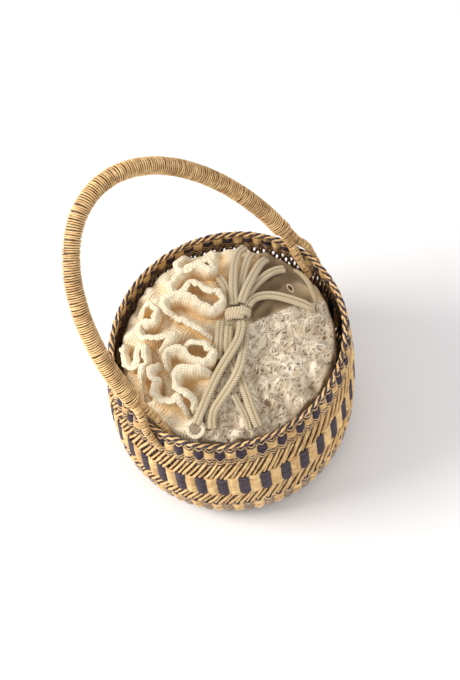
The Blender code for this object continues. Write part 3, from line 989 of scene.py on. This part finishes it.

# %% [markdown]
# The frills are laid out before the cloth under them, because that cloth gets painted shade along their
# roots.
# Each route is the free edge of one crocheted strip, laid over the crown.

# %% Routes of the frills
FRILL_ROUTES = {
    "frill_upper_strip": [
        (41, 73, 153), (30, 71, 157), (21, 68, 160), (22, 62, 162), (33, 60, 162), (41, 52, 163),
        (38, 42, 165), (31, 42, 166), (29, 53, 164), (22, 60, 162), (8, 61, 162), (-1, 57, 163),
        (2, 52, 165), (14, 51, 166), (17, 43, 168), (16, 34, 169), (20, 27, 170), (18, 18, 171),
        (10, 13, 171), (2, 15, 171), (-2, 24, 171), (-1, 36, 170), (-3, 47, 168), (-11, 54, 166),
        (-18, 49, 166), (-17, 36, 169),
    ],
    "frill_patch_strip": [
        (-18, 45, 167), (-17, 33, 168), (-16, 22, 169), (-15, 12, 169), (-13, 3, 169),
    ],
    "frill_middle_strip": [
        (-39, 21, 167), (-32, 16, 169), (-26, 8, 170), (-24, -1, 170), (-26, -7, 169), (-33, -10, 168),
        (-40, -6, 168), (-43, 2, 168), (-43, 10, 168), (-43, 19, 167), (-49, 23, 166), (-55, 18, 165),
        (-58, 12, 164),
    ],
    "frill_lower_strip": [
        (-38, -16, 166), (-43, -10, 168), (-49, -4, 167), (-54, 4, 166), (-62, 3, 164), (-66, -2, 162),
        (-64, -10, 162), (-66, -18, 160), (-71, -22, 158),
    ],
    "frill_outer_strip": [
        (-56, 22, 165), (-63, 25, 162), (-70, 22, 160), (-69, 15, 160), (-76, 14, 158), (-80, 8, 156),
        (-78, 0, 157), (-71, -4, 160), (-73, -12, 158), (-76, -19, 156),
    ],
    "frill_left_strip": [
        (-54, 64, 154), (-62, 59, 154), (-69, 51, 154), (-73, 42, 155), (-66, 44, 157), (-58, 49, 158),
        (-52, 46, 160), (-56, 38, 160), (-64, 33, 159), (-74, 32, 156), (-79, 25, 155),
    ],
    "frill_cheek_strip": [
        (-32, 70, 157), (-24, 71, 158), (-19, 64, 161), (-22, 55, 164), (-30, 50, 164), (-36, 52, 163),
        (-42, 58, 160), (-47, 52, 161), (-43, 42, 164), (-36, 36, 166), (-30, 30, 168), (-36, 26, 168),
        (-45, 30, 166), (-51, 34, 164),
    ],
}
FRILL_STEP = 1.3 * MM
GATHER_REACH = 9


def shorter_line(line, reach):
    """The line a strip is gathered along: each point is the average of those within reach of it."""
    found = []
    for at in range(len(line)):
        near = line[max(0, at - reach):at + reach + 1]
        found.append(sum(near, Vector()) / len(near))
    return found


frill_edges = {}
frill_roots = {}
for name, route in FRILL_ROUTES.items():
    lifted = [(Vector(point) + Vector((0, 0, 2))) * MM for point in route]
    frill_edges[name] = evenly(smooth_route(lifted), FRILL_STEP)
    frill_roots[name] = shorter_line(frill_edges[name], GATHER_REACH)
all_roots = [point for line in frill_roots.values() for point in line]
nearest_root = KDTree(len(all_roots))
for at, point in enumerate(all_roots):
    nearest_root.insert((point.x, point.y, 0), at)
nearest_root.balance()
print(len(frill_edges), "frill routes laid")

# %% [markdown]
# Each half of the top is spun as a flat disc with a skirt, cut along the seam and raised to its height. The
# lace lies over the cotton half only, so its disc is cut once more. Folds could be simulated, but the height
# is known, so a raised disc is quicker and is the same on each run.

# %% Cloths of the pouch's top
CLOTH = 1.1 * MM
LACE_THICK = 0.4 * MM
CLOTH_STEPS, SKIRT_RINGS = 260, 8
SKIRT_BEND, SKIRT_OUT = 8 * MM, 3 * MM
LACE_TOP = Vector((30, -16, 0)) * MM
LACE_UP = Vector((0.42, 0.91, 0))
CORDS_END = Vector((64, 8)) * MM


def chain(bm, places):
    """A row of points joined by edges, each pulled out of the last."""
    newest = bm.verts.new(places[0])
    for place in places[1:]:
        pulled = bmesh.ops.extrude_vert_indiv(bm, verts=[newest])
        newest = pulled["verts"][0]
        newest.co = place


def spun_round(bm, steps):
    """The row of points spun into a closed round shape."""
    outline = bm.verts[:] + bm.edges[:]
    bmesh.ops.spin(bm, geom=outline, axis=(0, 0, 1), angle=math.tau, steps=steps, use_merge=True)
    bmesh.ops.remove_doubles(bm, verts=bm.verts, dist=1e-6)


def cut(bm, place, facing, **cleared):
    """A flat cloth cut along a line."""
    everything = bm.verts[:] + bm.edges[:] + bm.faces[:]
    bmesh.ops.bisect_plane(bm, geom=everything, plane_co=place, plane_no=facing, **cleared)


def finish_cloth(name, bm, finish, thickness):
    """The thin shape becomes a cloth of this thickness."""
    bmesh.ops.recalc_face_normals(bm, faces=bm.faces)
    mesh = bpy.data.meshes.new(name)
    bm.to_mesh(mesh)
    bm.free()
    made = add_piece(name, mesh, [finish])
    thick = made.modifiers.new("cloth thickness", "SOLIDIFY")
    thick.thickness = thickness
    thick.offset = 0.0
    return made


print("Cloth is", round(CLOTH / MM, 1), "mm thick and lace", round(LACE_THICK / MM, 1), "mm")

# %% Two halves and the lace
def flat_half(side, inner, rings, skirt_rings, overlap):
    """A flat half of the top with its skirt. side is +1 behind the seam and -1 in front of it."""
    bm = bmesh.new()
    reach = [inner + (EDGE_RADIUS - inner) * ring / rings for ring in range(rings + 1)]
    reach += [EDGE_RADIUS + (ring + 1) * MM for ring in range(skirt_rings)]
    chain(bm, [Vector((radius, 0, 0)) for radius in reach])
    spun_round(bm, CLOTH_STEPS)
    across = Vector((-math.sin(SEAM_ANGLE), math.cos(SEAM_ANGLE), 0)) * side
    cut(bm, SEAM_POINT - across * overlap, across, clear_inner=True)
    return bm


def shaded(x, y, side):
    """How much painted shade a point gets from the frills beside it and near the ends of the cords."""
    by_frill = 0.0
    if side > 0:
        by_frill = 0.85 * math.exp(-((nearest_root.find((x, y, 0))[2] / MM / 5.5) ** 2))
    from_ends = math.hypot(x - CORDS_END.x, y - CORDS_END.y) / MM
    return by_frill + 1.4 * math.exp(-((from_ends / 30) ** 2))


def top_cloth(name, side, finish, lumps, thick, lift, overlap, inner=MM, rings=70, skirt=SKIRT_RINGS):
    """A flat half raised to its height, with its skirt bent down round the edge."""
    bm = flat_half(side, inner, rings, skirt, overlap)
    if finish == lace:
        cut(bm, LACE_TOP, LACE_UP, clear_outer=True)
    painted_shade = bm.verts.layers.float.new("painted_shade")
    uv = bm.loops.layers.uv.new("UVMap")
    for face in bm.faces:
        for loop in face.loops:
            loop[uv].uv = (loop.vert.co.x, loop.vert.co.y)
    for vert in bm.verts:
        past = max(0.0, math.hypot(vert.co.x, vert.co.y) - EDGE_RADIUS)
        bend = min(1.0, past / SKIRT_BEND) * math.pi / 2
        pull = (EDGE_RADIUS + SKIRT_OUT * math.sin(bend)) / (EDGE_RADIUS + past)
        flat = Vector((vert.co.x * OVAL_X, vert.co.y * OVAL_Y, 0))
        under_lace = finish == cotton and (flat - LACE_TOP).dot(LACE_UP) < -2 * MM
        x, y = flat.x * pull, flat.y * pull
        vert.co = (x, y, top_height(x, y, lumps) + lift - EDGE_DROP * (1 - math.cos(bend)))
        # Painted shade: more in the folds, down the bent skirt, along the frills' roots, near the cords'
        # ends, and on the cotton under the lace.
        depth = -fold_depth(x, y) / 5 + past / (40 * MM) + shaded(x, y, side) + (0.8 if under_lace else 0.0)
        vert[painted_shade] = min(1.0, max(0.0, depth))
    return finish_cloth(name, bm, finish, thick)


crochet_top = top_cloth("crochet_cloth", 1, crochet, CROCHET_LUMPS, CLOTH, lift=0.3 * MM, overlap=3 * MM)
settle(crochet_top, "pouch", "crochet", "crochet_top")
cotton_top = top_cloth("cotton_cloth", -1, cotton, COTTON_LUMPS, CLOTH, lift=-0.4 * MM, overlap=9 * MM)
settle(cotton_top, "pouch", "cotton", "lace_top")
lace_top = top_cloth(
    "lace_panel", -1, lace, COTTON_LUMPS, LACE_THICK,
    lift=0.6 * MM, overlap=-4 * MM, inner=8 * MM, rings=60, skirt=5,
)
settle(lace_top, "pouch", "lace")

# %% [markdown]
# Below the top the bag hangs inside the basket. It stands a little away from the wall, and drops in soft
# upright pleats to a round bottom. It is spun from one profile and pleated by moving its points.

# %% Bag
BAG_PROFILE = (
    (0, 6.2), (30, 6.2), (58, 6.8), (70, 11), (76, 20), (78, 36), (78.5, 54), (79, 72), (80, 90),
    (82, 108), (83.5, 122), (83, 132), (79, 137),
)
BAG_STEPS = 176
BAG_GIRTH_RADIUS = 80 * MM
PLEATS = 22
PLEAT_DEPTH = 1.6 * MM
BAG_LUMPS = 1.5 * MM

bm = bmesh.new()
chain(bm, [Vector((radius * MM, 0, height * MM)) for radius, height in BAG_PROFILE])
bmesh.ops.subdivide_edges(bm, edges=bm.edges[:], cuts=2)
spun_round(bm, BAG_STEPS)
bag_painted_shade = bm.verts.layers.float.new("painted_shade")
bag_uv = bm.loops.layers.uv.new("UVMap")
for face in bm.faces:
    for loop in face.loops:
        turn = math.atan2(loop.vert.co.y, loop.vert.co.x)
        loop[bag_uv].uv = (turn * BAG_GIRTH_RADIUS, loop.vert.co.z)
for vert in bm.verts:
    turn = math.atan2(vert.co.y, vert.co.x)
    away = math.hypot(vert.co.x, vert.co.y)
    hang = min(1.0, max(0.0, (away / MM - 40) / 30))
    wander = 3 * noise.noise(Vector((math.cos(turn) * 2, math.sin(turn) * 2, vert.co.z * 12)))
    pleat = math.sin(PLEATS * turn + wander)
    grown = 1 + hang * (pleat * PLEAT_DEPTH + BAG_LUMPS * noise.noise(vert.co * 30)) / max(away, MM)
    vert.co = (vert.co.x * grown * OVAL_X, vert.co.y * grown * OVAL_Y, vert.co.z)
    # Painted shade: the bag is shaded inside the basket, most in the hollows of its pleats.
    vert[bag_painted_shade] = min(1.0, 0.65 + hang * (0.25 - 0.35 * pleat))
bag = finish_cloth("cotton_bag", bm, cotton, CLOTH)
settle(bag, "pouch", "cotton", "pouch_bag")

# %% [markdown]
# The frills are the pouch's showpiece: long crocheted strips, stitched down along one side so tightly that
# the free side has to wander in loops. Each strip starts as one edge along its gathered line on the cloth.
# The edge is extruded row by row up to the much longer given route, and then rolled outward into a fat
# lip. A cloth simulation could gather a strip too, but its loops wouldn't fall where they are wanted.

# %% Frills
FRILL_ROWS = 9
LIP_ROWS = 5
LIP_RADIUS = 2.5 * MM
LIP_TURN = math.radians(150)
FRILL_CLOTH = 2.1 * MM
ROW_HEIGHT = 1.5 * MM
GATHER = 0.62
SUNK = 0.8 * MM
WOBBLE = 2.2 * MM
FRILL_BOW = 1.6 * MM
LOW_ENDS = 9


def frill_row(edge, root, row, seed):
    """Rows run from the root on the cloth up to the free edge and round its rolled lip."""
    places = []
    last = len(edge) - 1
    for at, (top, low) in enumerate(zip(edge, root)):
        ahead = (edge[min(at + 1, last)] - edge[max(at - 1, 0)]).normalized()
        out = ahead.cross(Vector((0, 0, 1))).normalized()
        foot = low.lerp(top, 1 - GATHER)
        foot.z = top_height(foot.x, foot.y, CROCHET_LUMPS) - SUNK
        wobble = noise.noise(Vector((at * 0.24, seed, row * 0.12))) * WOBBLE
        whole = min(1.0, at / LOW_ENDS, (last - at) / LOW_ENDS) ** 0.6
        top = Vector((top.x, top.y, foot.z + (top.z - foot.z) * whole))
        if row <= FRILL_ROWS:
            share = row / FRILL_ROWS
            place = foot.lerp(top, share**0.8)
            place.z = foot.z + (top.z - foot.z) * math.sin(share * math.pi / 2)
            place += out * (-FRILL_BOW * math.sin(share * math.pi) + wobble * share)
        else:
            bend = (row - FRILL_ROWS) / LIP_ROWS * LIP_TURN
            lumpy = 1 + 0.45 * noise.noise(Vector((at * 0.5, seed, 9)))
            flute = LIP_RADIUS * (0.3 + 0.7 * whole) * lumpy
            up = Vector((0, 0, flute * math.sin(bend)))
            place = top + out * (flute * (1 - math.cos(bend)) + wobble) + up
        places.append(place)
    return places


def pull_row(bm, current, edges):
    """The last row of a strip extruded. The new points come in the same order as the old ones."""
    pulled = bmesh.ops.extrude_edge_only(bm, edges=edges)["geom"]
    new = {item for item in pulled if isinstance(item, bmesh.types.BMVert)}
    pulled_edges = [item for item in pulled if isinstance(item, bmesh.types.BMEdge)]
    new_edges = [edge for edge in pulled_edges if new.issuperset(edge.verts)]
    above = {}
    for vert in new:
        partner = next(edge.other_vert(vert) for edge in vert.link_edges if edge.other_vert(vert) not in new)
        above[partner] = vert
    return [above[vert] for vert in current], new_edges


print("A frill has", FRILL_ROWS, "rows and a lip of", LIP_ROWS)

# %% Gathered strips
def frill_strip(name, nodes, seed):
    """One strip, and the length of its free edge."""
    edge, root = frill_edges[name], frill_roots[name]
    bm = bmesh.new()
    painted_shade = bm.verts.layers.float.new("painted_shade")
    uv = bm.loops.layers.uv.new("UVMap")
    chain(bm, frill_row(edge, root, 0, seed))
    bm.verts.ensure_lookup_table()
    current, edges = bm.verts[:], bm.edges[:]
    row_of = {vert: 0 for vert in current}
    for row in range(1, FRILL_ROWS + LIP_ROWS + 1):
        current, edges = pull_row(bm, current, edges)
        for vert, place in zip(current, frill_row(edge, root, row, seed)):
            vert.co = place
            row_of[vert] = row
    # Painted shade: most at the strip's root on the cloth, fading to none on the lip.
    for vert, row in row_of.items():
        vert[painted_shade] = 0.9 * max(0.0, 1.0 - 0.9 * row / FRILL_ROWS)
    bm.verts.index_update()
    for face in bm.faces:
        for loop in face.loops:
            along = loop.vert.index % len(edge)
            loop[uv].uv = (along * FRILL_STEP, row_of[loop.vert] * ROW_HEIGHT)
    strip = finish_cloth(name, bm, crochet, FRILL_CLOTH)
    softer = strip.modifiers.new("soft cloth", "SUBSURF")
    softer.levels = 1
    softer.render_levels = 1
    settle(strip, "pouch", "crochet", *nodes)
    return strip, FRILL_STEP * (len(edge) - 1)


strip_nodes = {
    "frill_upper_strip": ["frill_upper"],
    "frill_middle_strip": ["frill_lower"],
    "frill_left_strip": ["frill_left"],
}
for number, name in enumerate(FRILL_ROUTES):
    strip, strip_length = frill_strip(name, strip_nodes.get(name, []), number * 3.7)
    print("   free edge", round(strip_length / MM), "mm")

# %% [markdown]
# A soft cotton cord closes the pouch. It is braided flat, with a groove along the middle. It leaves its
# casing, crosses the top and meets in one knot. Each visible run is its own piece, swept along a route whose
# points are listed one by one, because a real cord lies where it was dropped.

# %% Routes of the cords
CORD_ROUTES = {
    "cord_back_1": [
        (18.2, 7.4, 168.5), (28, 16, 167), (39, 25, 163.8), (53, 35, 158.3), (66, 41.5, 152),
        (75, 42, 148),
    ],
    "cord_back_2": [
        (20.6, 5.6, 163.8), (38.5, 16.5, 161.1), (53.5, 25, 156.9), (66, 31, 152), (74, 33, 148.4),
    ],
    "cord_back_3": [
        (23, 4, 168.9), (33, 7.8, 168.9), (42, 11, 166.3), (56.5, 16, 159.8), (69, 19.4, 153.6),
        (76, 19.5, 149.7),
    ],
    "cord_back_4": [
        (32.2, 6.3, 162.6), (46, 8.3, 160.2), (61, 8, 156.3), (71, 5.8, 152.8), (78, 1.8, 150),
    ],
    "cord_end_right": [
        (24.2, -1.4, 167.2), (33.5, 0, 164.1), (42, -3.2, 161.7), (49, -10, 159.4), (54, -19, 157.5),
        (59, -30, 154.5), (61.6, -37.5, 152.2), (62.6, -42.4, 150.6),
    ],
    "cord_left": [
        (13.6, 12.2, 163.9), (20.5, 16.4, 163.3), (27.5, 23, 162.1), (31.5, 29, 160.9),
        (34.6, 36, 159.3), (36.4, 43, 157.6),
    ],
    "cord_under": [
        (1.5, 8.6, 164.3), (-8, 2.5, 164.3), (-17, -4, 164), (-27, -10.5, 163),
    ],
    "cord_front_1": [
        (9.3, -6.7, 169.2), (5.7, -9.9, 169.9), (-4.4, -14.9, 170.4), (-16.4, -17.4, 170.2),
        (-28.3, -18.4, 167.4), (-41.2, -19.9, 162.4), (-53, -22.1, 158), (-63, -24.8, 155.6),
        (-72, -27.4, 154.2), (-79, -29.3, 152.1),
    ],
    "cord_front_2": [
        (10.6, -9.2, 164.2), (4.4, -14.4, 164.1), (-5.1, -20.7, 164.6), (-19, -29, 168.2),
        (-29.6, -32.6, 167), (-40.4, -33.1, 161.3), (-50.6, -33, 156.6), (-60.1, -33.6, 153.5),
        (-67.2, -36.4, 150.4), (-72.5, -41, 147.2),
    ],
    "cord_front_3": [
        (1.6, -0.2, 164.4), (-5, -4.8, 164.4), (-14, -11.4, 164), (-22, -21.4, 162.8),
        (-27.5, -33.5, 160.7), (-34.4, -45.8, 157.1), (-41, -56.2, 152.8), (-45.8, -64.6, 148.5),
        (-48, -69, 146),
    ],
    "cord_tail": [
        (-41.6, -39, 156.8), (-44.8, -46.5, 154.2), (-47.9, -53.8, 151.2), (-51, -60, 148),
        (-55, -65, 145.6),
    ],
}
print(len(CORD_ROUTES), "runs of cord laid")

# %% Braided cords
CORD_WIDE, CORD_THICK = 7.5 * MM, 4.9 * MM
CORD_DIAMETER = 5.4 * MM
TAIL_DIAMETER = 3.8 * MM
TAIL_SHARE = 0.68
CORD_STEP = 0.9 * MM
CLOSING_STEPS = 10
FREE_ENDS = ("cord_end_right", "cord_left")


def cord_profile(name, size):
    """An oval with a dent above and below, so that the cord shows two columns of stitches."""
    made = oval_profile(name, CORD_THICK * size, CORD_WIDE * size, sides=20)
    for point in made.data.splines[0].points:
        middle = abs(point.co.y) / (CORD_THICK * size / 2)
        point.co.y *= 1 - 0.26 * middle**10
    return made


def lengthwise(piece, length):
    """The UV map measures metres along the cord."""
    for spot in piece.data.uv_layers[0].data:
        spot.uv.x *= length


full_cord = cord_profile("full_cord_profile", 1.0)
thin_cord = cord_profile("thin_cord_profile", TAIL_SHARE)
cords = {}
for name, route in CORD_ROUTES.items():
    line = evenly(smooth_route([Vector(point) * MM for point in route]), CORD_STEP)
    taper = [1.0] * len(line)
    if name in FREE_ENDS:
        for step in range(CLOSING_STEPS):
            taper[-1 - step] = 0.25 + 0.75 * (step / CLOSING_STEPS) ** 0.6
    profile = thin_cord if name == "cord_tail" else full_cord
    cord = swept(name + "_braid", [(line, 0, taper)], [braided], profile)
    length = length_of(line)
    lengthwise(cord, length)
    settle(cord, "pouch", "cord", name)
    cords[name] = (cord, line, length)
    print("   ", round(length / MM, 1), "mm long")

# %% [markdown]
# The knot is the same cord wound three times round itself and pulled tight, so its turns lie side by side.
# It is one helix, flattened and drawn in at both ends, with a short core that closes its middle.

# %% Knot
KNOT_AT = Vector((13, 1, 169)) * MM
KNOT_LONG = Vector((0.687, -0.727, 0))
KNOT_AXIS = Vector((0.727, 0.687, 0))
KNOT_UP = Vector((0, 0, 1))
KNOT_TURNS = 3.05
KNOT_STEPS = 120
HALF_AXIS, HALF_LONG, HALF_UP = 4.2 * MM, 8.8 * MM, 4.4 * MM
KNOT_SKEW = 1.5 * MM
CORE_HALF, CORE_STEPS = 7 * MM, 12
KNOT_CORD = 2.55 * MM

knot_line = []
for step in range(KNOT_STEPS + 1):
    share = step / KNOT_STEPS
    turn = math.tau * KNOT_TURNS * share + 0.6
    drawn_in = math.sqrt(1 - ((share - 0.5) * 1.5) ** 2)
    place = KNOT_AT + KNOT_AXIS * (HALF_AXIS * (2 * share - 1))
    place += KNOT_LONG * (HALF_LONG * drawn_in * math.cos(turn))
    place += KNOT_UP * (HALF_UP * drawn_in * math.sin(turn))
    knot_line.append(place + KNOT_LONG * (KNOT_SKEW * math.sin(3 * share)))
core_shares = [2 * step / CORE_STEPS - 1 for step in range(CORE_STEPS + 1)]
knot_core = [KNOT_AT + KNOT_LONG * (CORE_HALF * share) for share in core_shares]
paths = [(knot_line, 0, None), (knot_core, 0, None)]
knot = swept("knot_turns", paths, [braided], depth=KNOT_CORD, upright=False, resolution=3)
lengthwise(knot, length_of(knot_line))
settle(knot, "pouch", "cord", "cord_knot")

for name, (cord, line, length) in cords.items():
    TAIL_DIAMETER if name == "cord_tail" else CORD_DIAMETER
    "bare" if name in (*FREE_ENDS, "cord_tail") else "object"
    [knot] if name == "cord_back_1" else []
for profile in (full_cord, thin_cord):
    bpy.data.objects.remove(profile)
print(len(cords), "cords declared")

# %% [markdown]
# The cord comes out of the cloth through a rolled ring on the left, and there is a worked buttonhole on the
# right. Beside it the casing lifts into a soft fold.

# %% Eyelet, buttonhole and casing fold
EYELET_AT = Vector((-80.5, -29.7, 145.2)) * MM
EYELET_FACING = Vector((-0.43, -0.16, 0.89)).normalized()
BUTTONHOLE_AT = Vector((66, -14, 151.6)) * MM
BUTTONHOLE_FACING = Vector((0.25, -0.1, 1)).normalized()
TUBE_STEPS, RING_STEPS = 16, 56


def facing_matrix(at, facing):
    """Moves a flat shape to its place and turns its face along a direction."""
    return Matrix.Translation(at) @ facing.to_track_quat("Z", "Y").to_matrix().to_4x4()


def ring(name, radius, tube, finish, at, facing, stretch=1.0, lumps=0.0):
    """A rolled edge of cloth: a small circle spun round a larger one."""
    bm = bmesh.new()
    section = Matrix.Translation((radius, 0, 0)) @ Matrix.Rotation(math.pi / 2, 4, "X")
    bmesh.ops.create_circle(bm, segments=TUBE_STEPS, radius=tube, matrix=section)
    spun_round(bm, RING_STEPS)
    bmesh.ops.scale(bm, vec=(stretch, 1, 1), verts=bm.verts)
    uv = bm.loops.layers.uv.new("UVMap")
    for face in bm.faces:
        for loop in face.loops:
            spot = loop.vert.co
            loop[uv].uv = (math.atan2(spot.y, spot.x) * radius, spot.z + math.hypot(spot.x, spot.y))
    for vert in bm.verts:
        vert.co *= 1 + lumps * noise.noise(vert.co * 400)
    bmesh.ops.transform(bm, matrix=facing_matrix(at, facing), verts=bm.verts)
    bmesh.ops.recalc_face_normals(bm, faces=bm.faces)
    mesh = bpy.data.meshes.new(name)
    bm.to_mesh(mesh)
    bm.free()
    return add_piece(name, mesh, [finish])


eyelet = ring("eyelet_ring", 6.4 * MM, 1.9 * MM, crochet, EYELET_AT, EYELET_FACING, lumps=0.06)
settle(eyelet, "pouch", "crochet", "cord_eyelet")
buttonhole = ring(
    "buttonhole_edge", 2.1 * MM, 0.42 * MM, cotton, BUTTONHOLE_AT, BUTTONHOLE_FACING, stretch=1.8
)
settle(buttonhole, "pouch", "cotton")

# %% Casing fold
FOLD_ROUTE = ((84, -4, 146.8), (84, -13, 146.6), (81, -22, 147), (75.5, -30, 148.2), (70, -38, 149))
FOLD_WIDE, FOLD_THICK = 4.2 * MM, 4.6 * MM
FOLD_LENGTH = 45 * MM
fold_line = evenly(smooth_route([Vector(point) * MM for point in FOLD_ROUTE]), 1.0 * MM)
fold_taper = []
for at in range(len(fold_line)):
    along = 0.1 + 0.8 * at / (len(fold_line) - 1)
    fold_taper.append(0.35 + 0.65 * math.sin(math.pi * along))
fold_profile = oval_profile("fold_profile", FOLD_WIDE, FOLD_THICK, sides=14)
casing = swept("casing_lip", [(fold_line, 0, fold_taper)], [cotton], fold_profile)
bpy.data.objects.remove(fold_profile)
lengthwise(casing, FOLD_LENGTH)
settle(casing, "pouch", "cotton", "casing_fold")

# %% Painted shadow in the buttonhole
buttonhole_shadow_mesh = bpy.data.meshes.new("buttonhole_shadow_disc")
bm = bmesh.new()
bmesh.ops.create_circle(bm, cap_ends=True, segments=24, radius=2.0 * MM)
bmesh.ops.scale(bm, vec=(1.7, 0.8, 1), verts=bm.verts)
bmesh.ops.transform(bm, matrix=facing_matrix(BUTTONHOLE_AT, BUTTONHOLE_FACING), verts=bm.verts)
bm.to_mesh(buttonhole_shadow_mesh)
bm.free()
shadow_disc = add_piece("buttonhole_shadow_disc", buttonhole_shadow_mesh, [buttonhole_shadow.material])
settle(shadow_disc, "pouch", "cotton")

# %% [markdown]
# A plain pale floor, a broad soft lamp from the left and an even white sky give soft shadows that fall to
# the right. Nothing else is needed: the straw and the cloth bring the picture's contrast.

# %% Floor, light and sky
FLOOR_HALF = 6.0
FLOOR_DROP = 0.2 * MM
LAMPS_AIM = Vector((0, 0, 0.1))
SKY_COLOUR, SKY_POWER = (1.0, 0.985, 0.975, 1.0), 0.76
floor_mesh = bpy.data.meshes.new("studio_floor")
bm = bmesh.new()
bmesh.ops.create_grid(bm, x_segments=1, y_segments=1, size=FLOOR_HALF)
bmesh.ops.translate(bm, vec=(0, 0, -FLOOR_DROP), verts=bm.verts)
bm.to_mesh(floor_mesh)
bm.free()
floor_paint = Finish("pale floor", 0.6)
floor_tint = floor_paint.noise(floor_paint.place(), 3.0, 2.0)
floor_paint.use(floor_paint.blend(floor_tint, (0.90, 0.90, 0.92), (0.93, 0.93, 0.95)))
floor_mesh.materials.append(floor_paint.material)
floor = bpy.data.objects.new("studio_floor", floor_mesh)
bpy.context.scene.collection.objects.link(floor)
floor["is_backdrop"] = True


def lamp(name, place, size, power, colour):
    """A square lamp that shines on the basket."""
    data = bpy.data.lights.new(name, "AREA")
    data.size = size
    data.energy = power
    data.color = colour
    made = bpy.data.objects.new(name, data)
    made.location = place
    made.rotation_euler = (LAMPS_AIM - Vector(place)).to_track_quat("-Z", "Y").to_euler()
    bpy.context.scene.collection.objects.link(made)


lamp("key_light", (-0.95, 0.95, 1.25), 0.8, 27, (1.0, 0.97, 0.92))
lamp("fill_light", (0.2, -1.4, 1.6), 1.6, 4, (0.98, 0.98, 1.0))
sky = bpy.data.worlds.new("studio_sky")
sky.use_nodes = True
sky.node_tree.nodes["Background"].inputs["Color"].default_value = SKY_COLOUR
sky.node_tree.nodes["Background"].inputs["Strength"].default_value = SKY_POWER
bpy.context.scene.world = sky
bpy.context.scene.view_settings.view_transform = "Standard"
print("Studio is lit")

# %% Size and finish
low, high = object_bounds()
print("Finished box in mm:", [round(side / MM) for side in Vector(high) - Vector(low)])
